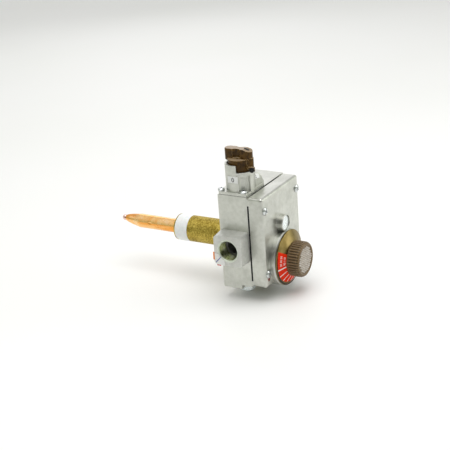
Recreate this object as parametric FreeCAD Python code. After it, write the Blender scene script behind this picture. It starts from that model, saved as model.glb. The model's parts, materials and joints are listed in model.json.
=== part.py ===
import FreeCAD, Part
import math
import os

# Combination gas control of a storage water heater.
# Millimetres. The model is drawn from the axis of the tank shank on the body's back face, and
# written with its origin at the middle of the tank thread, on the same axis.
# +X right when facing the front, +Y backwards along the probe, +Z up.

V = FreeCAD.Vector
X_AXIS, Y_AXIS, Z_AXIS = V(1, 0, 0), V(0, 1, 0), V(0, 0, 1)

# ---------------------------------------------------------------- driving dimensions
# body casting, gap and front cover
HALF_W = 37.6
BODY_BACK, BODY_FRONT = 0.0, -31.9
BODY_LOW, BODY_HIGH = -38.7, 57.0
GAP = 1.8
COVER_BACK = BODY_FRONT - GAP
COVER_DEPTH = 14.2
COVER_FRONT = COVER_BACK - COVER_DEPTH
COVER_LOW, COVER_HIGH = -34.0, 56.7
COVER_WALL, COVER_ROUND, BODY_ROUND = 2.4, 2.6, 2.0
COVER_SCREW_X, COVER_SCREW_Z = 33.1, (-20.5, 43.7)
COVER_SCREW_HEAD_R, COVER_SCREW_HEAD_T, COVER_SCREW_R, COVER_SCREW_L = 3.9, 1.8, 1.8, 22.0
COVER_HOLLOW_LEFT, COVER_HOLLOW_RIGHT, COVER_HOLLOW_EDGE = -27.0, 29.0, 6.0
PAD_REACH = 10.0
PAD_SPANS = ((COVER_LOW + 0.6, COVER_LOW + 5.4), (COVER_HIGH - 8.2, COVER_HIGH - 1.4))
GASKET_INSET = 0.4
COLLAR_R, COLLAR_RISE = 17.0, 2.2
RELIEF_RIGHT, RELIEF_BACK, RELIEF_LOW, MAGNET_BOSS_R = -13.5, -21.0, -34.5, 10.6

# bonnet: plate, turret and pilot block
BONNET_RIGHT = -1.0
BONNET_GASKET_T = 0.4
PLATE_LOW = BODY_HIGH + BONNET_GASKET_T
PLATE_HIGH = 60.2
COCK_X, COCK_Y = -22.1, -18.1
TURRET_R, CUP_R = 14.05, 12.15
CUP_FLOOR = 75.0
WALL_LOW, WALL_HIGH = 79.0, 86.0
WINDOW_START, WINDOW_END = 194.0, 384.0
BLOCK_LEFT, BLOCK_RIGHT, BLOCK_FRONT, BLOCK_BACK = -26.5, -1.0, -31.3, -23.5
BLOCK_KNEE_Z, BLOCK_TOP_Y, BLOCK_TOP_Z = 68.8, -28.6, 75.3
BLOCK_END_X, BLOCK_END_Z, BLOCK_FOOT_Z = -8.0, 72.2, 61.4
BLOCK_PAD_X, BLOCK_PAD_HALF_X, BLOCK_PAD_HALF_Z = -16.9, 8.2, 2.4
STEP_START, STEP_END, STEP_TOP, STEP_DEPTH = 206, 250, 75.4, 1.5
BONNET_SCREWS = ((-34.4, -27.6), (-34.2, -3.4), (-5.6, -4.6), (-4.7, -19.6))
BONNET_SCREW_HEAD_R, BONNET_SCREW_HEAD_T, BONNET_SCREW_R, BONNET_SCREW_L = 3.3, 2.2, 1.6, 10.0
SCREW_ROOM_R = 4.1
FLUTE_R, FLUTE_TOP, FLUTE_ANGLES = 0.7, 74.0, (213, 222, 231, 240)
LEFT_PAD_HALF_Y, LEFT_PAD_LOW, LEFT_PAD_HIGH = 5.6, 69.2, 76.2
GLAND_R, GLAND_TOP = 6.2, 66.0

# gas cock knob
SKIRT_R, SKIRT_LOW, LEDGE_Z, KNOB_TOP = 11.0, 77.3, 90.2, 99.6
GRIP_HALF_X, GRIP_HALF_Y = 5.0, 14.3
NOSE_HALF_X, NOSE_REACH, NOSE_LOW = 4.0, 15.0, 81.3
NOSE_FALL_Y, NOSE_FALL = -7.0, 2.2
TAIL_LOW = 88.4
SCALLOP_R, SCALLOP_X = 5.2, 8.0
RING_X, RING_Y, RING_Z = -5.3, -16.1, 80.9
RING_R, RING_HOLE_R, PIN_R, PIN_HEAD_R = 2.4, 1.25, 0.85, 1.2
LUG_LEFT, LUG_RIGHT, LUG_FRONT, LUG_BACK = 0.9, 3.2, -17.6, -14.5
LUG_LOW, LUG_HIGH, LINK_BACK = 79.2, 83.2, -11.5
SPRING_ROOM_R, SPRING_POST_R, SPRING_ROOM_TOP = 9.4, 5.6, 86.0
STEM_R, STEM_TOP, KNOB_PUSH = 3.2, 87.8, 2.0

# gas cock and safety valve, all on the cock's axis
PLUG_LOW, PLUG_HIGH, PLUG_R_LOW, PLUG_R_HIGH = 27.0, 54.0, 6.6, 8.8
FIT_GAP = 0.05
COCK_PORT_Z = 40.0
SEAT_Z, SEAT_HOLE_R = 19.0, 5.0
CHAMBER_R, CHAMBER_LOW = 9.5, -34.0
ROD_R = 1.4
MAGNET_R, MAGNET_LOW, MAGNET_HIGH = 7.6, -31.0, -8.0
MAGNET_WALL, MAGNET_FLOOR, POLE_X, POLE_R, POLE_TOP = 0.9, 1.5, 3.6, 1.8, -18.6
MAGNET_HOLE_R, MAGNET_NECK_R = 1.9, 5.5
SAFETY_DISC_R, SAFETY_STEM_R, ARMATURE_R = 7.2, 1.5, 5.2

# inlet boss on the left face
INLET_Y, INLET_Z = -16.2, 6.0
INLET_REACH = 14.4
INLET_HALF, INLET_BASE_HALF, INLET_CORNER = 15.0, 15.9, 4.2
INLET_THREAD_R, INLET_THREAD_L, INLET_BORE_R = 10.5, 14.0, 8.2
INLET_CUT = 15.6
LABEL_T, LABEL_R = 0.25, 9.5

# outlet, pilot and thermocouple ports in the floor
OUTLET_X, OUTLET_Y, OUTLET_REACH = 12.0, -15.0, 11.3
OUTLET_R, OUTLET_THREAD_R, OUTLET_THREAD_L, OUTLET_BORE_R = 14.2, 10.5, 11.0, 8.0
PILOT_X, PILOT_Y = -6.5, -25.0
PORT_THREAD_R, MAGNET_THREAD_R, MAGNET_NUT_H = 3.3, 4.1, 5.6
MAGNET_NUT_FLATS, PILOT_NUT_FLATS, PILOT_NECK_R, PILOT_BORE_R = 15.0, 11.0, 2.95, 1.2
PILOT_ADJUST, TAP_PLUG = (-17.0, 35.0), (-24.0, -8.0)
PILOT_ADJUST_IN, TAP_PLUG_IN, SIDE_SCREW_R = 26.0, 30.0, 2.55

# thermostat, on the probe's and the dial's axes
DIAL_X, DIAL_Z = -1.5, -14.5
DIAL_BOSS_R, DIAL_BOSS_RISE = 28.2, 5.6
DIAL_R, DIAL_RIM_Y, DIAL_RIM_T, DIAL_NECK_R = 27.5, -54.2, 0.9, 16.4
KNOB_R, KNOB_BACK, KNOB_FRONT, KNOB_ROUND = 17.5, -60.4, -72.7, 2.0
KNOB_RIBS, RIB_VALLEY_R, RIB_END = 40, 16.4, -70.4
KNOB_FACE_R, KNOB_FIELD_R, KNOB_FIELD_DEPTH = 17.15, 14.2, 0.5
HUB_R, HUB_IN, BUSHING_R, BUSHING_BACK = 7.5, 8.9, 8.0, -31.5
TEMP_STEM_R, FEED_R, PLUNGER_R, STEM_END_Y = 4.0, 2.0, 5.0, -40.0
STOP_R, STOP_ANGLE, LUG_SPAN, LUG_TURN = 20.0, 0.0, 81.0, 4.5
STOP_PIN_R, STOP_PIN_RISE, STOP_PIN_IN, LUG_HALF_W = 1.2, 2.6, 3.0, 1.4
LABEL_START, LABEL_END = 149.0, 325.0
LEVER_Y, LEVER_T, LEVER_TOP_Z = -25.0, 2.0, 11.2
VALVE_Z, VALVE_R, CLICKER_R = 8.6, 4.0, 6.4
CELL_LEFT, CELL_RIGHT, CELL_LOW, CELL_HIGH = -11.0, 28.0, -23.0, 15.0
PASSAGE_RIGHT, PASSAGE_BACK, PASSAGE_LOW = 20.0, -6.0, -30.0
PLENUM_LEFT, PLENUM_RIGHT, PLENUM_FRONT, PLENUM_LOW, PLENUM_HIGH = 0.0, 24.0, -24.0, -36.0, -26.0
GALLERY_FRONT, GALLERY_BACK, GALLERY_LOW, GALLERY_HIGH = -26.0, -8.0, 20.5, 50.0
ROD_CLEARANCE = 0.6
CELL_WALL_FRONT, CELL_WALL_BACK, SEAT_RING_R = -16.0, -13.0, 3.4

# pressure regulator
REG_X, REG_Z, REG_R, REG_RISE, REG_PLUG_SET = -3.5, 22.0, 8.3, 6.6, 1.3
REG_PLUG_R, DIAPHRAGM_R, POCKET_R = 7.6, 13.4, 11.4
REG_VENT_X, REG_VENT_Z, REG_VENT_R = -2.2, -3.9, 0.65
POCKET_FLOOR, REG_HOLE_R, REG_SEAT_BACK = -28.8, 4.5, -25.4

# probe
SHANK_R, SHANK_L, SHANK_BORE_R, SHANK_IN = 13.35, 70.0, 7.2, 5.0
SHANK_NECK_R, SHANK_PASSAGE_R = 11.7, 5.0
SEAL_START, SEAL_END, SEAL_ROOT_R, SEAL_R = 54.3, 68.4, 12.95, 13.55
THREAD_MID = (SEAL_START + SEAL_END) / 2
TUBE_R, TUBE_BORE_R, TUBE_IN, TUBE_STRAIGHT, TUBE_TAPER_END = 7.15, 6.3, 12.0, 118.0, 136.6
TIP_R, TIP_END, TIP_RISE = 2.9, 141.1, 1.0
INVAR_R = 2.4


# ---------------------------------------------------------------- helpers
def box(x0, x1, y0, y1, z0, z1):
    return Part.makeBox(x1 - x0, y1 - y0, z1 - z0, V(x0, y0, z0))


def rod_x(r, x0, x1, y, z):
    return Part.makeCylinder(r, x1 - x0, V(x0, y, z), X_AXIS)


def rod_y(r, x, y0, y1, z):
    return Part.makeCylinder(r, y1 - y0, V(x, y0, z), Y_AXIS)


def rod_z(r, x, y, z0, z1):
    return Part.makeCylinder(r, z1 - z0, V(x, y, z0), Z_AXIS)


def revolve_y(points, x, z):
    """Turn an (radius, y) outline about the line through (x, z) along Y."""
    wire = Part.makePolygon([V(x + r, y, z) for r, y in points + points[:1]])
    return Part.Face(wire).revolve(V(x, 0, z), Y_AXIS, 360)


def revolve_z(points, x, y):
    """Turn an (radius, z) outline about the line through (x, y) along Z."""
    wire = Part.makePolygon([V(x + r, y, z) for r, z in points + points[:1]])
    return Part.Face(wire).revolve(V(x, y, 0), Z_AXIS, 360)


def rounded_face(half_u, half_v, corner, place):
    """Rounded rectangle; place(u, v) gives the point in space."""
    arc = corner * (1 - math.sqrt(0.5))
    edges = []
    ring = []
    for su, sv in ((1, 1), (-1, 1), (-1, -1), (1, -1)):
        side = place(su * half_u, sv * (half_v - corner))
        mid = place(su * (half_u - arc), sv * (half_v - arc))
        end = place(su * (half_u - corner), sv * half_v)
        if su * sv < 0:
            side, end = end, side
        ring.append((side, mid, end))
    for i, (start, mid, end) in enumerate(ring):
        edges.append(Part.Arc(start, mid, end).toShape())
        edges.append(Part.LineSegment(end, ring[(i + 1) % 4][0]).toShape())
    return Part.Face(Part.Wire(edges))


def hexagon_z(across_flats, x, y, z0, z1):
    r = across_flats / math.sqrt(3)
    turns = [math.radians(60 * i) for i in range(7)]
    points = [V(x + r * math.cos(turn), y + r * math.sin(turn), z0) for turn in turns]
    return Part.Face(Part.makePolygon(points)).extrude(V(0, 0, z1 - z0))


def sector_z(r0, r1, start, end, z0, z1, x, y):
    """Part of a ring about a vertical axis, from start to end degrees."""
    inner = Part.makeCylinder(r0, z1 - z0, V(x, y, z0), Z_AXIS, end - start)
    outer = Part.makeCylinder(r1, z1 - z0, V(x, y, z0), Z_AXIS, end - start)
    ring = outer.cut(inner)
    ring.rotate(V(x, y, 0), Z_AXIS, start)
    return ring


def coil(radius, wire, turns, length, base, axis):
    """Open helical spring, its axis from base along axis."""
    pitch = length / turns
    helix = Part.makeHelix(pitch, length, radius)
    section = Part.Wire(Part.makeCircle(wire / 2, V(radius, 0, 0), Y_AXIS))
    spring = Part.Wire(helix).makePipeShell([section], True, True)
    spring.Placement = FreeCAD.Placement(base, FreeCAD.Rotation(Z_AXIS, axis))
    return spring


def pan_head_screw(head_r, head_t, shank_r, length):
    """Cross-recessed screw along -Z, its head's seat at z = 0."""
    crown = 0.45 * head_t
    outline = [(0, 0), (head_r, 0), (head_r, head_t - crown), (0.7 * head_r, head_t), (0, head_t)]
    screw = revolve_z(outline, 0, 0).fuse(rod_z(shank_r, 0, 0, -length, 0))
    half_slot = 0.11 * head_r
    reach = 0.62 * head_r
    floor = 0.35 * head_t
    recess = box(-reach, reach, -half_slot, half_slot, floor, head_t + 1)
    recess = recess.fuse(box(-half_slot, half_slot, -reach, reach, floor, head_t + 1))
    return screw.cut(recess)


def placed(shape, point, axis, turn=0):
    shape = shape.copy()
    spin = FreeCAD.Rotation(Z_AXIS, turn)
    shape.Placement = FreeCAD.Placement(V(*point), FreeCAD.Rotation(Z_AXIS, axis).multiply(spin))
    return shape


def edges_where(shape, test):
    return [edge for edge in shape.Edges if test(edge)]


def along(axis, edge):
    """True for a straight edge that runs along the axis."""
    if edge.Curve.TypeId != "Part::GeomLine":
        return False
    return abs(abs(edge.tangentAt(edge.FirstParameter).dot(axis)) - 1) < 1e-6


# ---------------------------------------------------------------- castings
def corner_pads():
    pads = []
    for side in (-1, 1):
        x0, x1 = sorted((side * HALF_W, side * (HALF_W - PAD_REACH)))
        for z0, z1 in PAD_SPANS:
            pads.append(box(x0, x1, COVER_BACK, BODY_FRONT, z0, z1))
    return pads


def cover_screw_places():
    return [(side * COVER_SCREW_X, z) for side in (-1, 1) for z in COVER_SCREW_Z]


def inlet_face(half, x):
    face = rounded_face(half, half, INLET_CORNER, lambda u, v: V(x, INLET_Y + u, INLET_Z + v))
    return face.OuterWire


def inlet_block():
    """Square tapered block on the left face, with its lower front corner cut off."""
    tip = -HALF_W - INLET_REACH
    block = Part.makeLoft([inlet_face(INLET_BASE_HALF, -HALF_W), inlet_face(INLET_HALF, tip)], True, True)
    cutter = box(tip - 1, -HALF_W + 1, INLET_CUT, INLET_CUT + 20, -20, 20)
    cutter.rotate(V(0, 0, 0), X_AXIS, -45)
    cutter.translate(V(0, INLET_Y, INLET_Z))
    return block.cut(cutter)


def inlet_boss():
    tip = -HALF_W - INLET_REACH
    boss = inlet_block().cut(rod_x(INLET_THREAD_R, tip - 1, tip + INLET_THREAD_L, INLET_Y, INLET_Z))
    return boss.cut(rod_x(INLET_BORE_R, tip, -HALF_W + 1, INLET_Y, INLET_Z))


def outlet_boss():
    low = BODY_LOW - OUTLET_REACH
    boss = rod_z(OUTLET_R, OUTLET_X, OUTLET_Y, low, BODY_LOW)
    boss = boss.cut(rod_z(OUTLET_THREAD_R, OUTLET_X, OUTLET_Y, low - 1, low + OUTLET_THREAD_L))
    return boss.cut(rod_z(OUTLET_BORE_R, OUTLET_X, OUTLET_Y, low, BODY_LOW + 1))


def body_block():
    """Solid body with its corner pads, collar and the relief under its front left corner."""
    body = box(-HALF_W, HALF_W, BODY_FRONT, BODY_BACK, BODY_LOW, BODY_HIGH)
    back = edges_where(body, lambda e: along(Z_AXIS, e) and e.CenterOfMass.y > -1)
    rim = edges_where(body, lambda e: along(X_AXIS, e) and e.CenterOfMass.y > -1)
    body = body.makeFillet(BODY_ROUND, back + rim)
    for pad in corner_pads():
        body = body.fuse(pad)
    relief = box(-HALF_W - 1, RELIEF_RIGHT, BODY_FRONT - 1, RELIEF_BACK, BODY_LOW - 1, RELIEF_LOW)
    relief = relief.cut(rod_z(MAGNET_BOSS_R, COCK_X, COCK_Y, BODY_LOW - 2, RELIEF_LOW + 1))
    return body.cut(relief).fuse(rod_y(COLLAR_R, 0, -3, COLLAR_RISE, 0))


def thermostat_hollows():
    """Thermostat cell, the passage behind it and the plenum over the outlet."""
    return [
        box(CELL_LEFT, CELL_RIGHT, BODY_FRONT - 1, CELL_WALL_FRONT, CELL_LOW, CELL_HIGH),
        box(CELL_LEFT, PASSAGE_RIGHT, CELL_WALL_BACK, PASSAGE_BACK, PASSAGE_LOW, CELL_HIGH),
        box(PLENUM_LEFT, PLENUM_RIGHT, PLENUM_FRONT, PASSAGE_BACK, PLENUM_LOW, PLENUM_HIGH),
        rod_y(SEAT_RING_R, 0, CELL_WALL_FRONT - 1, CELL_WALL_BACK + 1, VALVE_Z),
        rod_y(INVAR_R + ROD_CLEARANCE, 0, CELL_WALL_FRONT - 1, -SHANK_IN + 1, 0),
    ]


def regulator_hollows():
    """Gallery above the cell and the regulator's pocket in front of it."""
    return [
        box(CELL_LEFT, CELL_RIGHT, GALLERY_FRONT, GALLERY_BACK, GALLERY_LOW, GALLERY_HIGH),
        rod_y(POCKET_R, REG_X, BODY_FRONT - 1, POCKET_FLOOR, REG_Z),
        rod_y(REG_HOLE_R + 0.8, REG_X, POCKET_FLOOR - 1, REG_SEAT_BACK, REG_Z),
        rod_y(5.0, REG_X, REG_SEAT_BACK - 0.1, -19, REG_Z),
    ]


def gas_cock_hollows():
    """Tapered bore of the cock, its port to the gallery, the seat hole and the magnet's chamber."""
    taper = (PLUG_R_HIGH - PLUG_R_LOW) / (PLUG_HIGH - PLUG_LOW)
    bore_r = PLUG_R_LOW + FIT_GAP
    bore_l = BODY_HIGH + 1 - PLUG_LOW
    return [
        Part.makeCone(bore_r, bore_r + taper * bore_l, bore_l, V(COCK_X, COCK_Y, PLUG_LOW)),
        rod_x(3.6, COCK_X, CELL_LEFT + 1, COCK_Y, COCK_PORT_Z),
        rod_z(SEAT_HOLE_R, COCK_X, COCK_Y, SEAT_Z - 1, PLUG_LOW + 1),
        rod_z(CHAMBER_R, COCK_X, COCK_Y, CHAMBER_LOW, SEAT_Z),
        rod_z(MAGNET_NECK_R + 0.1, COCK_X, COCK_Y, BODY_LOW - 1, CHAMBER_LOW + 1),
    ]


def port_bores():
    """Bores behind the inlet, outlet and pilot ports, and the socket of the tank shank."""
    return [
        rod_x(INLET_BORE_R, -HALF_W - 1, COCK_X, INLET_Y, INLET_Z),
        rod_z(OUTLET_BORE_R, OUTLET_X, OUTLET_Y, BODY_LOW - 1, PASSAGE_LOW),
        rod_z(PILOT_NECK_R + 0.05, PILOT_X, PILOT_Y, BODY_LOW - 1, -28),
        rod_y(SHANK_NECK_R + 0.05, 0, -SHANK_IN, 5, 0),
    ]


def screw_holes():
    """Blind holes of the bonnet and cover screws and of the two plugs on the right face."""
    holes = [rod_z(BONNET_SCREW_R + 0.1, x, y, BODY_HIGH - 9, BODY_HIGH + 1) for x, y in BONNET_SCREWS]
    holes += [rod_y(COVER_SCREW_R + 0.1, x, BODY_FRONT - 2, BODY_FRONT + 10, z)
              for x, z in cover_screw_places()]
    holes.append(rod_x(SIDE_SCREW_R + FIT_GAP, PILOT_ADJUST_IN - 2, HALF_W + 1, *PILOT_ADJUST))
    holes.append(rod_x(SIDE_SCREW_R + FIT_GAP, TAP_PLUG_IN - 8, HALF_W + 1, *TAP_PLUG))
    return holes


def body_casting():
    body = body_block()
    hollows = thermostat_hollows() + regulator_hollows() + gas_cock_hollows()
    for hollow in hollows + port_bores() + screw_holes():
        body = body.cut(hollow)
    return body


def cover_gasket():
    half = HALF_W - GASKET_INSET
    sheet = box(-half, half, COVER_BACK, BODY_FRONT, COVER_LOW + GASKET_INSET, COVER_HIGH - 1.8)
    sheet = sheet.cut(box(CELL_LEFT, CELL_RIGHT, COVER_BACK - 1, BODY_FRONT + 1, CELL_LOW, 12))
    sheet = sheet.cut(rod_y(DIAPHRAGM_R + 0.3, REG_X, COVER_BACK - 1, BODY_FRONT + 1, REG_Z))
    for pad in corner_pads():
        sheet = sheet.cut(pad)
    for x, z in cover_screw_places():
        sheet = sheet.cut(rod_y(COVER_SCREW_R + 0.4, x, COVER_BACK - 1, BODY_FRONT + 1, z))
    return sheet


def cover_shell(hollow):
    cover = box(-HALF_W, HALF_W, COVER_FRONT, COVER_BACK, COVER_LOW, COVER_HIGH)
    front = edges_where(cover, lambda e: e.CenterOfMass.y < COVER_FRONT + 1)
    corners = edges_where(cover, lambda e: along(Y_AXIS, e))
    return cover.makeFillet(COVER_ROUND, front + corners).cut(hollow)


def dial_boss():
    """Round boss behind the dial, overhanging the cover's foot."""
    back, face = COVER_BACK - 3, COVER_FRONT - DIAL_BOSS_RISE
    outline = [(0, back), (DIAL_BOSS_R, back), (DIAL_BOSS_R, face + 1.2), (DIAL_BOSS_R - 1.2, face),
               (0, face)]
    return revolve_y(outline, DIAL_X, DIAL_Z)


def regulator_tower():
    """Spring tower on the front, and the skirt behind it that clamps the diaphragm."""
    face, clamp = COVER_FRONT - REG_RISE, BODY_FRONT - 0.4
    outline = [(0, face), (REG_R - 0.6, face), (REG_R, face + 0.6), (REG_R, COVER_FRONT + 1),
               (DIAPHRAGM_R, COVER_FRONT + 1), (DIAPHRAGM_R, clamp), (0, clamp)]
    return revolve_y(outline, REG_X, REG_Z)


def regulator_bores():
    face = COVER_FRONT - REG_RISE
    return [
        rod_y(POCKET_R, REG_X, COVER_FRONT + 4, BODY_FRONT, REG_Z),
        rod_y(REG_PLUG_R - 0.8, REG_X, face + REG_PLUG_SET, COVER_FRONT + 5, REG_Z),
        rod_y(REG_PLUG_R + FIT_GAP, REG_X, face - 1, face + REG_PLUG_SET + 3.1, REG_Z),
    ]


def stop_pin_rod(y0, y1):
    stop = math.radians(STOP_ANGLE)
    return rod_y(STOP_PIN_R, DIAL_X + STOP_R * math.cos(stop), y0, y1, DIAL_Z + STOP_R * math.sin(stop))


def front_cover():
    hollow = box(COVER_HOLLOW_LEFT, COVER_HOLLOW_RIGHT, COVER_FRONT + COVER_WALL, COVER_BACK + 1,
                 COVER_LOW + COVER_HOLLOW_EDGE, COVER_HIGH - COVER_HOLLOW_EDGE)
    face = COVER_FRONT - DIAL_BOSS_RISE
    cover = cover_shell(hollow).fuse(dial_boss().cut(hollow))
    # bushing of the temperature stem and the plunger behind it
    cover = cover.fuse(rod_y(BUSHING_R, DIAL_X, face, BUSHING_BACK, DIAL_Z))
    cover = cover.cut(rod_y(TEMP_STEM_R + FIT_GAP, DIAL_X, -60, BUSHING_BACK + 0.5, DIAL_Z))
    cover = cover.cut(rod_y(PLUNGER_R + FIT_GAP, DIAL_X, STEM_END_Y, BUSHING_BACK + 0.5, DIAL_Z))
    cover = cover.fuse(regulator_tower())
    for bore in regulator_bores():
        cover = cover.cut(bore)
    for x, z in cover_screw_places():
        cover = cover.cut(rod_y(COVER_SCREW_R + 0.3, x, COVER_FRONT - 1, COVER_BACK + 1, z))
    return cover.cut(stop_pin_rod(face - 3, face + STOP_PIN_IN))


def cover_screws():
    screw = pan_head_screw(COVER_SCREW_HEAD_R, COVER_SCREW_HEAD_T, COVER_SCREW_R, COVER_SCREW_L)
    turns = (25, 60, 10, 40)
    return Part.makeCompound([placed(screw, (x, COVER_FRONT, z), V(0, -1, 0), turn)
                              for (x, z), turn in zip(cover_screw_places(), turns)])


def bonnet_gasket():
    sheet = box(-HALF_W + 0.6, BONNET_RIGHT - 0.6, BODY_FRONT + 0.6, BODY_BACK - 2.2, BODY_HIGH, PLATE_LOW)
    sheet = sheet.cut(rod_z(10.5, COCK_X, COCK_Y, BODY_HIGH - 1, PLATE_LOW + 1))
    for x, y in BONNET_SCREWS:
        sheet = sheet.cut(rod_z(BONNET_SCREW_R + 0.2, x, y, BODY_HIGH - 1, PLATE_LOW + 1))
    return sheet


def prism(points, reach):
    """Closed outline of points in space, pushed along reach."""
    return Part.Face(Part.makePolygon(points + points[:1])).extrude(reach)


def pilot_pad():
    """Raised pad on the block's sloping front, falling to the right with the block's top."""
    lean = math.atan2(BLOCK_TOP_Y - BLOCK_FRONT, BLOCK_TOP_Z - BLOCK_KNEE_Z)
    fall = math.atan2(BLOCK_TOP_Z - BLOCK_END_Z, BLOCK_END_X - BLOCK_LEFT)
    pad = box(-BLOCK_PAD_HALF_X, BLOCK_PAD_HALF_X, -0.5, 0.5, -BLOCK_PAD_HALF_Z, BLOCK_PAD_HALF_Z)
    pad.rotate(V(0, 0, 0), Y_AXIS, math.degrees(fall))
    pad.rotate(V(0, 0, 0), X_AXIS, -math.degrees(lean))
    pad.translate(V(BLOCK_PAD_X, (BLOCK_FRONT + BLOCK_TOP_Y) / 2, (BLOCK_KNEE_Z + BLOCK_END_Z) / 2))
    return pad


def pilot_block():
    """Block in front of the turret: its side outline and its front outline, in common."""
    side = [(BLOCK_FRONT, PLATE_LOW), (BLOCK_FRONT, BLOCK_KNEE_Z), (BLOCK_TOP_Y, BLOCK_TOP_Z),
            (BLOCK_BACK, BLOCK_TOP_Z), (BLOCK_BACK, PLATE_LOW)]
    front = [(BLOCK_LEFT, PLATE_LOW), (BLOCK_LEFT, BLOCK_TOP_Z), (BLOCK_END_X, BLOCK_END_Z),
             (BLOCK_RIGHT, BLOCK_FOOT_Z), (BLOCK_RIGHT, PLATE_LOW)]
    along_x = prism([V(BLOCK_LEFT, y, z) for y, z in side], V(BLOCK_RIGHT - BLOCK_LEFT, 0, 0))
    along_y = prism([V(x, BLOCK_FRONT, z) for x, z in front], V(0, BLOCK_BACK - BLOCK_FRONT, 0))
    return along_x.common(along_y).fuse(pilot_pad())


def flutes():
    """Shallow step on the turret's front left, with upright flutes in it."""
    step = sector_z(TURRET_R - STEP_DEPTH, TURRET_R + 1, STEP_START, STEP_END, PLATE_HIGH, STEP_TOP,
                    COCK_X, COCK_Y)
    cuts = [step]
    for angle in FLUTE_ANGLES:
        turn = math.radians(angle)
        x = COCK_X + (TURRET_R - 1.3) * math.cos(turn)
        y = COCK_Y + (TURRET_R - 1.3) * math.sin(turn)
        cuts.append(rod_z(FLUTE_R, x, y, PLATE_HIGH, FLUTE_TOP))
    return cuts


def left_pad():
    """Raised flat pad of the turret that faces left."""
    pad = box(COCK_X - TURRET_R - 0.35, COCK_X - 8, COCK_Y - LEFT_PAD_HALF_Y, COCK_Y + LEFT_PAD_HALF_Y,
              LEFT_PAD_LOW, LEFT_PAD_HIGH)
    return pad.cut(rod_z(CUP_R + 0.9, COCK_X, COCK_Y, PLATE_LOW, WALL_HIGH))


def turret():
    tower = rod_z(TURRET_R, COCK_X, COCK_Y, PLATE_LOW, WALL_HIGH)
    window = sector_z(5, TURRET_R + 1, WINDOW_START, WINDOW_END, WALL_LOW, WALL_HIGH + 1, COCK_X, COCK_Y)
    tower = tower.cut(window).cut(rod_z(CUP_R, COCK_X, COCK_Y, CUP_FLOOR, WALL_HIGH + 1))
    for cut in flutes():
        tower = tower.cut(cut)
    # room for the heads of the two screws beside it
    for (x, y), top in zip(BONNET_SCREWS, (73.0, 90.0)):
        tower = tower.cut(rod_z(SCREW_ROOM_R, x, y, PLATE_HIGH, top))
    return tower.fuse(left_pad())


def bonnet():
    plate = box(-HALF_W, BONNET_RIGHT, BODY_FRONT, BODY_BACK - 1.6, PLATE_LOW, PLATE_HIGH)
    plate = plate.makeFillet(1.6, edges_where(plate, lambda e: along(Z_AXIS, e)))
    block = pilot_block().cut(rod_z(CUP_R + 0.6, COCK_X, COCK_Y, CUP_FLOOR, WALL_HIGH))
    casting = plate.fuse(turret()).fuse(block)
    casting = casting.cut(rod_z(STEM_R + 0.08, COCK_X, COCK_Y, PLATE_LOW - 1, CUP_FLOOR + 1))
    casting = casting.cut(rod_z(GLAND_R, COCK_X, COCK_Y, PLATE_LOW - 1, GLAND_TOP))
    for x, y in BONNET_SCREWS:
        casting = casting.cut(rod_z(BONNET_SCREW_R + 0.3, x, y, PLATE_LOW - 1, PLATE_HIGH + 1))
    return casting


def bonnet_screws():
    screw = pan_head_screw(BONNET_SCREW_HEAD_R, BONNET_SCREW_HEAD_T, BONNET_SCREW_R, BONNET_SCREW_L)
    return Part.makeCompound([placed(screw, (x, y, PLATE_HIGH), Z_AXIS, 17 * i)
                              for i, (x, y) in enumerate(BONNET_SCREWS)])


def inlet_label():
    """Paper sticker wrapped round the lower back corner of the inlet boss."""
    tip = -HALF_W - INLET_REACH
    grown = Part.makeLoft([inlet_face(INLET_BASE_HALF + LABEL_T, -HALF_W),
                           inlet_face(INLET_HALF + LABEL_T, tip - LABEL_T)], True, True)
    skin = grown.cut(inlet_block())
    corner = INLET_HALF - 1.5
    patch = rod_x(LABEL_R, tip - 1, tip + 7, INLET_Y + corner, INLET_Z - corner)
    return skin.common(patch).cut(rod_x(INLET_THREAD_R + 0.6, tip - 2, tip + 9, INLET_Y, INLET_Z))


# ---------------------------------------------------------------- gas cock
def knob_bar(half_x, reach_front, reach_back, z0, z1):
    """Bar with round ends across the knob, in the knob's own axes."""
    front_y, back_y = reach_front - half_x, reach_back - half_x
    bar = box(-half_x, half_x, -front_y, back_y, z0, z1)
    bar = bar.fuse(rod_z(half_x, 0, -front_y, z0, z1)).fuse(rod_z(half_x, 0, back_y, z0, z1))
    bar.translate(V(COCK_X, COCK_Y, 0))
    return bar.removeSplitter()


def on_nose_slope(shape):
    """Tilt and place a shape drawn about the line where the grip's top starts to fall to its nose."""
    fall = math.degrees(math.atan2(NOSE_FALL, GRIP_HALF_Y + NOSE_FALL_Y))
    shape.rotate(V(0, 0, 0), X_AXIS, fall)
    shape.translate(V(COCK_X, COCK_Y + NOSE_FALL_Y, KNOB_TOP))
    return shape


def ring_lug():
    """Ear low on the knob's nose that carries the pointer ring, and the web behind it."""
    x0, x1 = COCK_X + RING_X + LUG_LEFT, COCK_X + RING_X + LUG_RIGHT
    ear = box(x0, x1, COCK_Y + LUG_FRONT, COCK_Y + LUG_BACK, LUG_LOW, LUG_HIGH)
    return ear.fuse(box(x0, x1, COCK_Y + LUG_BACK - 0.9, COCK_Y + LINK_BACK, NOSE_LOW, LUG_HIGH))


def finger_grip():
    """Upper bar of the knob with its sloping nose and a scallop on each side."""
    grip = knob_bar(GRIP_HALF_X, GRIP_HALF_Y, GRIP_HALF_Y, LEDGE_Z, KNOB_TOP)
    top = edges_where(grip, lambda e: e.CenterOfMass.z > KNOB_TOP - 0.1)
    grip = grip.makeFillet(0.9, top).cut(on_nose_slope(box(-20, 20, -30, 0, 0, 20)))
    for side in (-1, 1):
        grip = grip.cut(rod_z(SCALLOP_R, COCK_X + side * SCALLOP_X, COCK_Y, LEDGE_Z + 0.01, KNOB_TOP + 1))
    return grip


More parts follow.
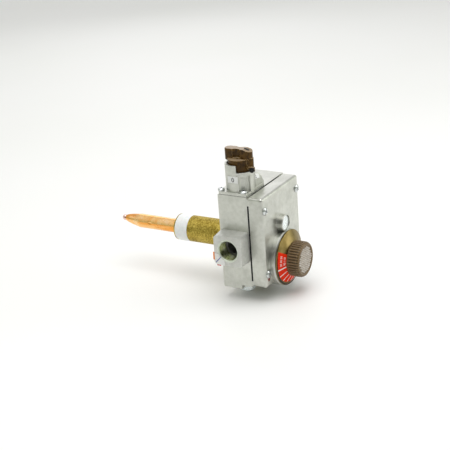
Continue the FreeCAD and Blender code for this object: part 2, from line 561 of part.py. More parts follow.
def gas_cock_knob():
    nose = knob_bar(NOSE_HALF_X, NOSE_REACH, NOSE_HALF_X, NOSE_LOW, LEDGE_Z + 1)
    tail = knob_bar(GRIP_HALF_X, GRIP_HALF_X, GRIP_HALF_Y, TAIL_LOW, LEDGE_Z + 1)
    skirt = rod_z(SKIRT_R, COCK_X, COCK_Y, SKIRT_LOW, LEDGE_Z)
    knob = skirt.fuse(nose).fuse(tail).fuse(ring_lug()).fuse(finger_grip())
    # sockets of the stem and the reset rod, room for the spring, seats of the inlay and the ring's pin
    knob = knob.cut(rod_z(STEM_R + FIT_GAP, COCK_X, COCK_Y, SKIRT_LOW - 1, STEM_TOP + KNOB_PUSH + 0.2))
    knob = knob.cut(rod_z(ROD_R, COCK_X, COCK_Y, SKIRT_LOW, KNOB_TOP - 4))
    spring_room = rod_z(SPRING_ROOM_R, COCK_X, COCK_Y, SKIRT_LOW - 1, SPRING_ROOM_TOP)
    knob = knob.cut(spring_room.cut(rod_z(SPRING_POST_R, COCK_X, COCK_Y, SKIRT_LOW - 2, SPRING_ROOM_TOP + 1)))
    knob = knob.cut(index_inlay(FIT_GAP))
    return knob.cut(ring_rod(PIN_R + FIT_GAP, -1, 3))


def index_inlay(grow):
    """Oval mark on the nose's slope; its bar is drawn level, in the knob's own axes."""
    inlay = knob_bar(1.4 + grow, 11.9 + grow, -6.2 + grow, -1.2 - grow, 0.25)
    inlay.translate(V(-COCK_X, -COCK_Y - NOSE_FALL_Y, 0))
    return on_nose_slope(inlay)


def knob_index_inlay():
    return index_inlay(0)


def ring_rod(r, x0, x1):
    """Rod on the pointer ring's axis, measured from the ring's middle."""
    return rod_x(r, COCK_X + RING_X + x0, COCK_X + RING_X + x1, COCK_Y + RING_Y, RING_Z)


def pointer_ring():
    return ring_rod(RING_R, -0.9, 0.85).cut(ring_rod(RING_HOLE_R, -2, 2))


def pointer_pin():
    return ring_rod(PIN_R, -0.6, 2.8).fuse(ring_rod(PIN_HEAD_R, -0.7, 0.8))


def gas_cock_plug():
    plug = Part.makeCone(PLUG_R_LOW, PLUG_R_HIGH, PLUG_HIGH - PLUG_LOW, V(COCK_X, COCK_Y, PLUG_LOW))
    plug = plug.cut(rod_z(4.4, COCK_X, COCK_Y, PLUG_LOW - 1, COCK_PORT_Z + 3.6))
    plug = plug.cut(rod_x(3.4, COCK_X, COCK_X + 12, COCK_Y, COCK_PORT_Z))
    plug = plug.fuse(rod_z(STEM_R, COCK_X, COCK_Y, PLUG_HIGH - 1, STEM_TOP))
    return plug.cut(rod_z(ROD_R + 0.06, COCK_X, COCK_Y, PLUG_LOW - 1, STEM_TOP + 1))


def plug_spring():
    return coil(5.0, 0.8, 4, 7.0, V(COCK_X, COCK_Y, PLUG_HIGH + 1.0), Z_AXIS)


def stem_o_ring():
    return Part.makeTorus(STEM_R + 1.5, 1.4, V(COCK_X, COCK_Y, 64.5), Z_AXIS)


def knob_spring():
    return coil(7.5, 0.9, 3.5, 7.2, V(COCK_X, COCK_Y, 78.4), Z_AXIS)


def reset_rod():
    return rod_z(ROD_R, COCK_X, COCK_Y, SEAT_Z + 0.3, KNOB_TOP - 4)


# ---------------------------------------------------------------- safety magnet
def safety_disc():
    disc = rod_z(SAFETY_DISC_R, COCK_X, COCK_Y, SEAT_Z - 2.5, SEAT_Z - 0.1)
    return disc.cut(rod_z(SAFETY_STEM_R, COCK_X, COCK_Y, SEAT_Z - 3, SEAT_Z))


def safety_stem():
    stem = rod_z(SAFETY_STEM_R, COCK_X, COCK_Y, -14.0, SEAT_Z - 0.1)
    return stem.fuse(rod_z(3.6, COCK_X, COCK_Y, SEAT_Z - 3.7, SEAT_Z - 2.5))


def armature():
    plate = rod_z(ARMATURE_R, COCK_X, COCK_Y, -16.0, -12.6)
    return plate.cut(rod_z(SAFETY_STEM_R, COCK_X, COCK_Y, -14.0, -12))


def safety_spring():
    return coil(2.9, 0.6, 7, 18.0, V(COCK_X, COCK_Y, -3.6), Z_AXIS)


def magnet_housing():
    shell = rod_z(MAGNET_R, COCK_X, COCK_Y, MAGNET_LOW, MAGNET_HIGH)
    inside_r = MAGNET_R - MAGNET_WALL
    shell = shell.cut(rod_z(inside_r, COCK_X, COCK_Y, MAGNET_LOW + MAGNET_FLOOR, MAGNET_HIGH - 1))
    return shell.cut(rod_z(MAGNET_HOLE_R, COCK_X, COCK_Y, MAGNET_HIGH - 2, MAGNET_HIGH + 1))


def magnet_core():
    """Horseshoe core: two poles on a yoke."""
    low = MAGNET_LOW + MAGNET_FLOOR
    core = box(COCK_X - 5.2, COCK_X + 5.2, COCK_Y - POLE_R, COCK_Y + POLE_R, low, low + 2)
    for side in (-1, 1):
        core = core.fuse(rod_z(POLE_R, COCK_X + side * POLE_X, COCK_Y, low, POLE_TOP))
    return core


def magnet_coil():
    low = MAGNET_LOW + MAGNET_FLOOR + 2.2
    coils = []
    for side in (-1, 1):
        x = COCK_X + side * POLE_X
        winding = rod_z(2.9, x, COCK_Y, low, POLE_TOP - 1)
        coils.append(winding.cut(rod_z(POLE_R + FIT_GAP, x, COCK_Y, low - 1, POLE_TOP)))
    return Part.makeCompound(coils)


def magnet_nut():
    """Hexagonal connector of the magnet unit, with the thermocouple's thread inside."""
    low = BODY_LOW - MAGNET_NUT_H
    nut = hexagon_z(MAGNET_NUT_FLATS, COCK_X, COCK_Y, low, BODY_LOW)
    chamfer = Part.makeCone(7.4, 9.6, 4.0, V(COCK_X, COCK_Y, low))
    nut = nut.common(chamfer.fuse(rod_z(9.6, COCK_X, COCK_Y, low + 3.6, BODY_LOW)))
    nut = nut.fuse(rod_z(MAGNET_NECK_R, COCK_X, COCK_Y, BODY_LOW - 1, MAGNET_LOW))
    return nut.cut(rod_z(MAGNET_THREAD_R, COCK_X, COCK_Y, low - 1, BODY_LOW - 0.2))


# ---------------------------------------------------------------- pilot supply
def pilot_fitting():
    fitting = hexagon_z(PILOT_NUT_FLATS, PILOT_X, PILOT_Y, BODY_LOW - 5.6, BODY_LOW)
    fitting = fitting.fuse(rod_z(PILOT_NECK_R, PILOT_X, PILOT_Y, BODY_LOW - 1, BODY_LOW + 7))
    fitting = fitting.cut(rod_z(PORT_THREAD_R, PILOT_X, PILOT_Y, BODY_LOW - 7, BODY_LOW - 0.6))
    return fitting.cut(rod_z(PILOT_BORE_R, PILOT_X, PILOT_Y, BODY_LOW - 2, BODY_LOW + 8))


def pilot_filter():
    return rod_x(3.4, -9.6, 4.0, COCK_Y, 44.0).cut(rod_x(1.6, -8.0, 5.0, COCK_Y, 44.0))


def side_screw(y, z, inner):
    """Slotted plug in the right face."""
    screw = rod_x(SIDE_SCREW_R, inner, HALF_W - 0.2, y, z)
    return screw.cut(box(HALF_W - 1.2, HALF_W + 1, y - 3, y + 3, z - 0.4, z + 0.4))


def pilot_adjust_screw():
    return side_screw(*PILOT_ADJUST, PILOT_ADJUST_IN)


def pressure_tap_plug():
    return side_screw(*TAP_PLUG, TAP_PLUG_IN)


# ---------------------------------------------------------------- pressure regulator
def regulator_plug():
    """Flat closing disc of the tower, with a vent hole."""
    face = COVER_FRONT - REG_RISE + REG_PLUG_SET
    back = face + 3.0
    outline = [(0, face), (REG_PLUG_R - 0.5, face), (REG_PLUG_R, face + 0.5), (REG_PLUG_R, back), (0, back)]
    plug = revolve_y(outline, REG_X, REG_Z)
    return plug.cut(rod_y(REG_VENT_R, REG_X + REG_VENT_X, face - 1, face + 5, REG_Z + REG_VENT_Z))


def regulator_screw():
    face = COVER_FRONT + 0.3
    screw = rod_y(REG_PLUG_R - 0.85, REG_X, face, face + 2.4, REG_Z)
    return screw.cut(box(REG_X - 3, REG_X + 3, face - 1, face + 1, REG_Z - 0.5, REG_Z + 0.5))


def regulator_spring():
    return coil(3.9, 0.7, 4, 7.4, V(REG_X, -44.2, REG_Z), Y_AXIS)


def diaphragm():
    sheet = rod_y(DIAPHRAGM_R, REG_X, BODY_FRONT - 0.4, BODY_FRONT, REG_Z)
    return sheet.cut(rod_y(7.4, REG_X, BODY_FRONT - 1, BODY_FRONT + 1, REG_Z))


def regulator_valve():
    plate = rod_y(7.1, REG_X, BODY_FRONT - 1.4, BODY_FRONT + 0.6, REG_Z)
    stem = rod_y(1.5, REG_X, BODY_FRONT, -21.0, REG_Z)
    return plate.fuse(stem).fuse(rod_y(4.2, REG_X, -23.6, -21.0, REG_Z))


def regulator_seat():
    seat = rod_y(REG_HOLE_R + 0.75, REG_X, POCKET_FLOOR, REG_SEAT_BACK, REG_Z)
    return seat.cut(rod_y(3.2, REG_X, POCKET_FLOOR - 1, REG_SEAT_BACK + 1, REG_Z))


# ---------------------------------------------------------------- temperature dial
def stop_lug():
    """Curved rib behind the skirt that runs between the ends of the stop pin's travel."""
    front = KNOB_BACK + 2.8
    length = COVER_FRONT - DIAL_BOSS_RISE - 0.4 - front
    outer = Part.makeCylinder(STOP_R + LUG_HALF_W, length, V(DIAL_X, front, DIAL_Z), Y_AXIS, LUG_SPAN)
    inner = Part.makeCylinder(STOP_R - LUG_HALF_W, length + 2, V(DIAL_X, front - 1, DIAL_Z), Y_AXIS)
    lug = outer.cut(inner)
    lug.rotate(V(DIAL_X, 0, DIAL_Z), Y_AXIS, LUG_TURN)
    return lug


def dial_skirt():
    rim_front = DIAL_RIM_Y - DIAL_RIM_T
    bore_r = TEMP_STEM_R + FIT_GAP
    outline = [(DIAL_R, DIAL_RIM_Y), (DIAL_R, rim_front), (DIAL_NECK_R, KNOB_BACK), (bore_r, KNOB_BACK),
               (bore_r, KNOB_BACK + 1.6), (DIAL_NECK_R - 0.8, KNOB_BACK + 1.6), (DIAL_R - 2.2, DIAL_RIM_Y)]
    return revolve_y(outline, DIAL_X, DIAL_Z).fuse(stop_lug())


def dial_label():
    """Thin printed band on the cone, from the upper left round to the lower right."""
    rim_front = DIAL_RIM_Y - DIAL_RIM_T
    slope = (KNOB_BACK - rim_front) / (DIAL_NECK_R - DIAL_R)
    inner, outer = DIAL_NECK_R + 0.9, DIAL_R - 0.7
    y_inner = rim_front + slope * (inner - DIAL_R)
    y_outer = rim_front + slope * (outer - DIAL_R)
    outline = [(inner, y_inner - 0.01), (outer, y_outer - 0.01), (outer, y_outer - 0.16),
               (inner, y_inner - 0.16)]
    points = [V(DIAL_X + r, y, DIAL_Z) for r, y in outline + outline[:1]]
    centre = V(DIAL_X, 0, DIAL_Z)
    band = Part.Face(Part.makePolygon(points)).revolve(centre, V(0, -1, 0), LABEL_END - LABEL_START)
    band.rotate(centre, V(0, -1, 0), LABEL_START)
    return band


def knob_outline(y):
    """Closed ring of outward arcs, one for each rib of the knob."""
    def point(radius, step):
        turn = 2 * math.pi * step / KNOB_RIBS
        return V(DIAL_X + radius * math.cos(turn), y, DIAL_Z + radius * math.sin(turn))

    arcs = []
    for i in range(KNOB_RIBS):
        arc = Part.Arc(point(RIB_VALLEY_R, i), point(KNOB_R, i + 0.5), point(RIB_VALLEY_R, i + 1))
        arcs.append(arc.toShape())
    return Part.Face(Part.Wire(arcs))


def knob_face():
    """Smooth round front of the knob, with a rounded edge and a shallow field."""
    def point(radius, y):
        return V(DIAL_X + radius, y, DIAL_Z)

    arc_mid = KNOB_ROUND * (1 - math.sqrt(0.5))
    back_y, field_y = RIB_END + 0.5, KNOB_FRONT + KNOB_FIELD_DEPTH
    round_start = point(KNOB_FACE_R, KNOB_FRONT + KNOB_ROUND)
    round_mid = point(KNOB_FACE_R - arc_mid, KNOB_FRONT + arc_mid)
    round_end = point(KNOB_FACE_R - KNOB_ROUND, KNOB_FRONT)
    side = [point(0, back_y), point(KNOB_FACE_R - 0.8, back_y), round_start]
    front = [round_end, point(KNOB_FIELD_R + 0.4, KNOB_FRONT), point(KNOB_FIELD_R, field_y),
             point(0, field_y), side[0]]
    edges = [Part.LineSegment(a, b).toShape() for a, b in zip(side, side[1:])]
    edges.append(Part.Arc(round_start, round_mid, round_end).toShape())
    edges += [Part.LineSegment(a, b).toShape() for a, b in zip(front, front[1:])]
    return Part.Face(Part.Wire(edges)).revolve(V(DIAL_X, 0, DIAL_Z), Y_AXIS, 360)


def temperature_knob():
    ribs = knob_outline(RIB_END).extrude(V(0, KNOB_BACK - RIB_END, 0))
    return ribs.fuse(knob_face()).cut(rod_y(HUB_R, DIAL_X, KNOB_BACK - HUB_IN - 0.1, KNOB_BACK + 1, DIAL_Z))


def knob_insert():
    """Hub moulded into the knob, bored for the stem."""
    hub = rod_y(HUB_R - FIT_GAP, DIAL_X, KNOB_BACK - HUB_IN, KNOB_BACK, DIAL_Z)
    return hub.cut(rod_y(TEMP_STEM_R, DIAL_X, KNOB_BACK - 7.4, KNOB_BACK + 1, DIAL_Z))


def temperature_stem():
    """Dial shaft with the feed thread, drawn plain, that enters the plunger."""
    shaft = rod_y(TEMP_STEM_R, DIAL_X, KNOB_BACK - 7.3, STEM_END_Y - 0.1, DIAL_Z)
    return shaft.fuse(rod_y(FEED_R, DIAL_X, STEM_END_Y - 1, -33.2, DIAL_Z))


def dial_stop_pin():
    face = COVER_FRONT - DIAL_BOSS_RISE
    return stop_pin_rod(face - STOP_PIN_RISE, face + STOP_PIN_IN)


# ---------------------------------------------------------------- thermostat mechanism
def adjusting_plunger():
    plunger = rod_y(PLUNGER_R, DIAL_X, STEM_END_Y + 1.2, -30.0, DIAL_Z)
    plunger = plunger.cut(rod_y(FEED_R + FIT_GAP, DIAL_X, STEM_END_Y, -32.2, DIAL_Z))
    fork = box(DIAL_X - 3.8, DIAL_X + 3.8, -30.5, -23.4, DIAL_Z - 2.4, DIAL_Z + 2.4)
    fork = fork.cut(box(DIAL_X - 2.1, DIAL_X + 2.1, -28.5, -23, DIAL_Z - 3, DIAL_Z + 3))
    return plunger.fuse(fork).cut(rod_x(1.0, DIAL_X - 5, DIAL_X + 5, LEVER_Y, DIAL_Z))


def fulcrum_pin():
    return rod_x(1.0, DIAL_X - 3.7, DIAL_X + 3.7, LEVER_Y, DIAL_Z)


def lever():
    half = LEVER_T / 2
    bar = box(DIAL_X - 1.8, DIAL_X + 1.8, LEVER_Y - half, LEVER_Y + half, DIAL_Z - 1, LEVER_TOP_Z)
    pad = box(DIAL_X - 4.5, DIAL_X + 4.5, LEVER_Y - half, LEVER_Y + half, -4.5, LEVER_TOP_Z)
    eye = rod_x(1.9, DIAL_X - 1.8, DIAL_X + 1.8, LEVER_Y, DIAL_Z)
    return bar.fuse(pad).fuse(eye).cut(rod_x(1.04, DIAL_X - 3, DIAL_X + 3, LEVER_Y, DIAL_Z))


def clicker_frame():
    ring = rod_y(CLICKER_R, 0, -21.6, CELL_WALL_FRONT, VALVE_Z)
    ring = ring.cut(rod_y(CLICKER_R - 1, 0, -22, CELL_WALL_FRONT + 1, VALVE_Z))
    ring = ring.cut(rod_y(INVAR_R + ROD_CLEARANCE, 0, -23, -15, 0))
    return ring.cut(box(-9, 9, -22, -15, CELL_HIGH - 0.2, CELL_HIGH + 3))


def snap_disc():
    rim = CLICKER_R - 1 - FIT_GAP
    return revolve_y([(1.7, -21.4), (rim, -20.8), (rim, -20.4), (1.7, -21.0)], 0, VALVE_Z)


def main_valve():
    disc = rod_y(VALVE_R, 0, -18.0, -16.5, VALVE_Z)
    return disc.fuse(rod_y(1.2, 0, -23.6, -17.0, VALVE_Z))


def main_valve_spring():
    return coil(2.4, 0.4, 2.0, 1.3, V(0, -19.5, VALVE_Z), Y_AXIS)


def main_valve_seat():
    seat = rod_y(VALVE_R + 0.2, 0, -16.4, CELL_WALL_FRONT, VALVE_Z)
    seat = seat.fuse(rod_y(SEAT_RING_R - 0.05, 0, -16.2, CELL_WALL_BACK, VALVE_Z))
    return seat.cut(rod_y(SEAT_RING_R - 0.8, 0, -17, CELL_WALL_BACK + 1, VALVE_Z))


# ---------------------------------------------------------------- probe
def shank():
    """Turned tank shank; the thread is drawn plain, under the sealant band."""
    back = SHANK_L - TUBE_IN
    outline = [(SHANK_NECK_R, -SHANK_IN + 0.1), (SHANK_NECK_R, COLLAR_RISE), (SHANK_R, COLLAR_RISE),
               (SHANK_R, SEAL_START), (SEAL_ROOT_R, SEAL_START), (SEAL_ROOT_R, SEAL_END), (SHANK_R, SEAL_END),
               (SHANK_R, SHANK_L - 0.6), (SHANK_R - 0.6, SHANK_L), (SHANK_BORE_R, SHANK_L),
               (SHANK_BORE_R, back), (SHANK_PASSAGE_R, back), (SHANK_PASSAGE_R, -SHANK_IN + 0.1)]
    return revolve_y(outline, 0, 0)


def thread_seal():
    band = rod_y(SEAL_R, 0, SEAL_START, SEAL_END, 0)
    return band.cut(rod_y(SEAL_ROOT_R, 0, SEAL_START - 1, SEAL_END + 1, 0))


def tube_end(straight_r, end_r):
    """Cone from the straight tube up to the ball, which sits a little above the tube's axis."""
    start = Part.Wire(Part.makeCircle(straight_r, V(0, TUBE_STRAIGHT, 0), Y_AXIS))
    end = Part.Wire(Part.makeCircle(end_r, V(0, TUBE_TAPER_END, TIP_RISE), Y_AXIS))
    return Part.makeLoft([start, end], True, True)


def copper_tube():
    wall = TUBE_R - TUBE_BORE_R
    start = SHANK_L - TUBE_IN
    end_r = TIP_R - 0.4
    outside = rod_y(TUBE_R, 0, start, TUBE_STRAIGHT, 0).fuse(tube_end(TUBE_R, end_r))
    inside = rod_y(TUBE_BORE_R, 0, start, TUBE_STRAIGHT, 0).fuse(tube_end(TUBE_BORE_R, end_r - wall))
    return outside.cut(inside)


def tube_tip():
    """Brazed ball that closes the tube, with a spigot inside it."""
    ball = Part.makeSphere(TIP_R, V(0, TIP_END - TIP_R, TIP_RISE))
    ball = ball.cut(box(-5, 5, TUBE_TAPER_END - 6, TUBE_TAPER_END, -5, 5))
    return ball.fuse(rod_y(1.4, 0, TUBE_TAPER_END - 2, TUBE_TAPER_END + 1, TIP_RISE))


def invar_rod():
    return rod_y(INVAR_R, 0, LEVER_Y + LEVER_T / 2 + 0.3, 117.0, 0)


def eco_fuse():
    """Fusible cut-off round the rod inside the tube."""
    return rod_y(TUBE_BORE_R - 0.3, 0, 86, 98, 0).cut(rod_y(INVAR_R + 0.4, 0, 85, 99, 0))


SUBPARTS = [
    body_casting, inlet_boss, outlet_boss, cover_gasket, front_cover, cover_screws, bonnet,
    bonnet_gasket, bonnet_screws, inlet_label, gas_cock_knob, knob_index_inlay, pointer_ring,
    pointer_pin, gas_cock_plug, plug_spring, stem_o_ring, knob_spring, reset_rod, safety_disc,
    safety_stem, armature, safety_spring, magnet_housing, magnet_core, magnet_coil, magnet_nut,
    pilot_fitting, pilot_filter, pilot_adjust_screw, pressure_tap_plug, regulator_plug, regulator_screw,
    regulator_spring, diaphragm, regulator_valve, regulator_seat, dial_skirt, dial_label,
    temperature_knob, knob_insert, temperature_stem, dial_stop_pin, adjusting_plunger, fulcrum_pin,
    lever, clicker_frame, snap_disc, main_valve, main_valve_spring, main_valve_seat, shank, thread_seal,
    copper_tube, tube_tip, invar_rod, eco_fuse,
]


def main():
    os.makedirs("parts", exist_ok=True)
    for make in SUBPARTS:
        name = make.__name__
        shape = make()
        shape.translate(V(0, -THREAD_MID, 0))
        sound = shape.isValid() and len(shape.Solids) > 0
        print(name, "solids", len(shape.Solids), "volume", round(shape.Volume, 1), "ok" if sound else "BAD")
        shape.exportStep("parts/" + name + ".step")


main()
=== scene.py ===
import json
import math

import bpy
from mathutils import Matrix, Vector

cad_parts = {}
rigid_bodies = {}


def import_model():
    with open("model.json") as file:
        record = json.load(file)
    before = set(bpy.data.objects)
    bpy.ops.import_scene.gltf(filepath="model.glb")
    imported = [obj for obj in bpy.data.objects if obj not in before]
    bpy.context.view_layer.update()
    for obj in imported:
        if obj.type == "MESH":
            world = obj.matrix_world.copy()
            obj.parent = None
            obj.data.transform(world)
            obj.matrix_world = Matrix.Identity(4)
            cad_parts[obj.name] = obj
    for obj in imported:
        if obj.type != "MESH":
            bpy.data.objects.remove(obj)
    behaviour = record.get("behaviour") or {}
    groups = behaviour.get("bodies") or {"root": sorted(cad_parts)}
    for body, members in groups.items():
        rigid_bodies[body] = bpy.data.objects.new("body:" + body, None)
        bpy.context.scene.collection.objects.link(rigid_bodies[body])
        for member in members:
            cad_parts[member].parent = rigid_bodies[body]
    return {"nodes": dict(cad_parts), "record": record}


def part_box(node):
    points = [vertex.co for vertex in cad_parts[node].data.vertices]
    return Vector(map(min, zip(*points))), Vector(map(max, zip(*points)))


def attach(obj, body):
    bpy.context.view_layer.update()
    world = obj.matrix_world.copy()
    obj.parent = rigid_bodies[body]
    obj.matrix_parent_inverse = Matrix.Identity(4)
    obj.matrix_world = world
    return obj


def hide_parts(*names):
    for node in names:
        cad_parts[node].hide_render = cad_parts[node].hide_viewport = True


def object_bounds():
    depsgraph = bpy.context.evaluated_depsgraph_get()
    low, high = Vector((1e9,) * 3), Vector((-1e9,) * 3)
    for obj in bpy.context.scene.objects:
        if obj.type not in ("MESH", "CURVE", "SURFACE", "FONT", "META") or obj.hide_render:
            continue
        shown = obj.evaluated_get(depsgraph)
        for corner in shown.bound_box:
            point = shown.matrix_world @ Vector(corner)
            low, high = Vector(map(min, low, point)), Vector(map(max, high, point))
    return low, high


# Looks of the gas valve: materials, threads, dial print, probe tube and small marks, in metres.

for old in list(bpy.data.objects):
    bpy.data.objects.remove(old)
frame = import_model()
cad_low, cad_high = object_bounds()
nodes = frame["nodes"]
MM = 0.001


# ---------------------------------------------------------------- node helpers
class Paint:
    """A material with a Principled shader, and short calls for the nodes that feed it."""

    def __init__(self, name, metallic=0.0, roughness=0.5, **constants):
        self.material = bpy.data.materials.new(name)
        self.material.use_nodes = True
        self.tree = self.material.node_tree
        self.tree.nodes.clear()
        output = self.tree.nodes.new("ShaderNodeOutputMaterial")
        self.shader = self.tree.nodes.new("ShaderNodeBsdfPrincipled")
        self.tree.links.new(self.shader.outputs[0], output.inputs["Surface"])
        self.coordinates = self.tree.nodes.new("ShaderNodeTexCoord").outputs["Object"]
        self.shader.inputs["Metallic"].default_value = metallic
        self.shader.inputs["Roughness"].default_value = roughness
        for socket, value in constants.items():
            self.shader.inputs[socket.replace("_", " ")].default_value = value

    def link(self, value, socket):
        """Join an output to a socket, or set the socket to a plain value."""
        if isinstance(value, bpy.types.NodeSocket):
            self.tree.links.new(value, socket)
        else:
            socket.default_value = value

    def feed(self, socket, value):
        self.link(value, self.shader.inputs[socket])

    def math(self, operation, a, b=0.0, clamp=False):
        node = self.tree.nodes.new("ShaderNodeMath")
        node.operation = operation
        node.use_clamp = clamp
        self.link(a, node.inputs[0])
        self.link(b, node.inputs[1])
        return node.outputs[0]

    def mapped(self, scale, location=(0, 0, 0), rotation=(0, 0, 0)):
        node = self.tree.nodes.new("ShaderNodeMapping")
        self.tree.links.new(self.coordinates, node.inputs["Vector"])
        node.inputs["Scale"].default_value = scale
        node.inputs["Location"].default_value = location
        node.inputs["Rotation"].default_value = rotation
        return node.outputs[0]

    def noise(self, scale, detail=4.0, rough=0.55, vector=None, distortion=0.0):
        node = self.tree.nodes.new("ShaderNodeTexNoise")
        self.tree.links.new(vector or self.coordinates, node.inputs["Vector"])
        node.inputs["Scale"].default_value = scale
        node.inputs["Detail"].default_value = detail
        node.inputs["Roughness"].default_value = rough
        node.inputs["Distortion"].default_value = distortion
        return node.outputs["Fac"]

    def ramp(self, value, *stops):
        """Stops are (position, number or colour)."""
        node = self.tree.nodes.new("ShaderNodeValToRGB")
        self.tree.links.new(value, node.inputs["Fac"])
        elements = node.color_ramp.elements
        while len(elements) < len(stops):
            elements.new(0.5)
        for element, (position, colour) in zip(elements, stops):
            element.position = position
            shade = colour if isinstance(colour, tuple) else (colour, colour, colour)
            element.color = (*shade, 1.0)
        return node.outputs["Color"]

    def mix(self, factor, a, b, blend="MIX"):
        node = self.tree.nodes.new("ShaderNodeMix")
        node.data_type = "RGBA"
        node.blend_type = blend
        self.link(factor, node.inputs["Factor"])
        for value, socket in ((a, node.inputs[6]), (b, node.inputs[7])):
            self.link((*value, 1.0) if isinstance(value, tuple) else value, socket)
        return node.outputs[2]

    def rounded(self, radius):
        """Normal that rounds off sharp edges to that radius."""
        node = self.tree.nodes.new("ShaderNodeBevel")
        node.samples = 4
        node.inputs["Radius"].default_value = radius
        return node.outputs["Normal"]

    def edges(self, radius, low, high):
        """1 on convex and concave edges of that radius, 0 elsewhere."""
        geometry = self.tree.nodes.new("ShaderNodeNewGeometry")
        dot = self.tree.nodes.new("ShaderNodeVectorMath")
        dot.operation = "DOT_PRODUCT"
        self.tree.links.new(self.rounded(radius), dot.inputs[0])
        self.tree.links.new(geometry.outputs["Normal"], dot.inputs[1])
        return self.ramp(self.math("SUBTRACT", 1.0, dot.outputs["Value"]), (low, 0.0), (high, 1.0))

    def bump(self, height, distance, strength=1.0, normal=None):
        node = self.tree.nodes.new("ShaderNodeBump")
        self.tree.links.new(height, node.inputs["Height"])
        node.inputs["Distance"].default_value = distance
        node.inputs["Strength"].default_value = strength
        if normal is not None:
            self.tree.links.new(normal, node.inputs["Normal"])
        return node.outputs[0]

    def parts(self, vector):
        """Outputs "X", "Y" and "Z" of a vector."""
        node = self.tree.nodes.new("ShaderNodeSeparateXYZ")
        self.tree.links.new(vector, node.inputs[0])
        return node.outputs

    def height_along_y(self):
        return self.parts(self.coordinates)["Y"]

    def angle(self, centre):
        """Turn about a Y axis through centre, 0 to 1, counted from -X."""
        place = self.parts(self.mapped((1, 1, 1), location=(-centre.x, 0, -centre.z)))
        turn = self.math("ARCTAN2", place["Z"], place["X"])
        return self.math("ADD", self.math("DIVIDE", turn, 2 * math.pi), 0.5)


# ---------------------------------------------------------------- materials
def cast_metal(name, dark, light, pale, roughness=(0.30, 0.46), metallic=0.92):
    """Die-cast skin: broad clouds, small blotches, fine grain, and paler edges that are a painted highlight.
    """
    paint = Paint(name, metallic=metallic)
    broad = paint.noise(55.0, 3.0, 0.5)
    fine = paint.noise(1900.0, 3.0, 0.6)
    blotches = paint.noise(260.0, 5.0, 0.62)
    shade = paint.ramp(broad, (0.35, dark), (0.65, light))
    shade = paint.mix(0.30, shade, paint.ramp(blotches, (0.35, dark), (0.7, pale)))
    # painted highlight: rounded edges are mixed towards the pale colour
    shade = paint.mix(paint.math("MULTIPLY", paint.edges(0.0007, 0.02, 0.35), 0.55), shade, pale)
    paint.feed("Base Color", shade)
    paint.feed("Roughness", paint.ramp(blotches, (0.3, roughness[0]), (0.75, roughness[1])))
    paint.feed("Normal", paint.bump(fine, 0.00006, 0.55, paint.rounded(0.0005)))
    return paint.material


def bright_steel(name, dark, light, roughness=(0.16, 0.34), scratch=1.0, metallic=1.0):
    """Plated or bare steel with fine slanting scratches."""
    paint = Paint(name, metallic=metallic)
    broad = paint.noise(420.0, 3.0, 0.5)
    lines = paint.noise(900.0, 4.0, 0.7, paint.mapped((1.0, 1.0, 9.0), rotation=(0.5, 0.3, 0.2)))
    paint.feed("Base Color", paint.ramp(broad, (0.3, dark), (0.7, light)))
    paint.feed("Roughness", paint.ramp(lines, (0.3, roughness[0]), (0.75, roughness[1])))
    paint.feed("Normal", paint.bump(lines, 0.00002, 0.5 * scratch, paint.rounded(0.0003)))
    return paint.material


def plastic(name, dark, light, roughness=(0.22, 0.36), edge=(0.0, 0.0, 0.0), edge_highlight_share=0.0, gloss=0.5,
            repaint=None):
    """Moulded plastic or rubber with pores; the edge colour paints a highlight on its edges, and repaint
    paints light and shade on some of its faces.
    """
    paint = Paint(name, Specular_IOR_Level=gloss)
    cloud = paint.noise(180.0, 4.0, 0.6, distortion=0.6)
    pores = paint.noise(2600.0, 2.0, 0.5)
    shade = paint.ramp(cloud, (0.32, dark), (0.68, light))
    if edge_highlight_share:
        # painted highlight: edges are mixed towards the edge colour
        shade = paint.mix(paint.math("MULTIPLY", paint.edges(0.0008, 0.01, 0.25), edge_highlight_share), shade, edge)
    if repaint:
        shade = repaint(paint, shade)
    paint.feed("Base Color", shade)
    paint.feed("Roughness", paint.ramp(cloud, (0.3, roughness[0]), (0.7, roughness[1])))
    paint.feed("Normal", paint.bump(pores, 0.00003, 0.4, paint.rounded(0.0004)))
    return paint.material


def grainy_brass(name, dark, mid, light, roughness=(0.36, 0.60)):
    """Rough, speckled skin of cast brass or wound copper."""
    paint = Paint(name, metallic=0.9)
    speckle = paint.noise(620.0, 6.0, 0.72)
    broad = paint.noise(95.0, 3.0, 0.6)
    shade = paint.ramp(speckle, (0.36, dark), (0.50, mid), (0.62, light))
    shade = paint.mix(0.35, shade, paint.ramp(broad, (0.35, dark), (0.65, light)))
    paint.feed("Base Color", shade)
    paint.feed("Roughness", paint.ramp(speckle, (0.3, roughness[1]), (0.7, roughness[0])))
    paint.feed("Normal", paint.bump(speckle, 0.00018, 0.8))
    return paint.material


def lit_top_sheen(paint, shade):
    """Painted highlight: upward faces of the gas-cock knob made paler, standing in for the light they catch.
    """
    geometry = paint.tree.nodes.new("ShaderNodeNewGeometry")
    # painted highlight on faces that point up
    sheen_mask = paint.ramp(paint.parts(geometry.outputs["Normal"])["Z"], (0.70, 0.0), (0.96, 0.8))
    return paint.mix(sheen_mask, shade, (0.36, 0.27, 0.18))


def fibre(name, dark, light, scale=1500.0):
    """Matted fibres of a gasket or a felt pad."""
    paint = Paint(name, roughness=0.9)
    threads = paint.noise(scale, 4.0, 0.7, paint.mapped((1.0, 2.2, 1.4)))
    paint.feed("Base Color", paint.ramp(threads, (0.35, dark), (0.65, light)))
    paint.feed("Normal", paint.bump(threads, 0.0001, 0.7))
    return paint.material


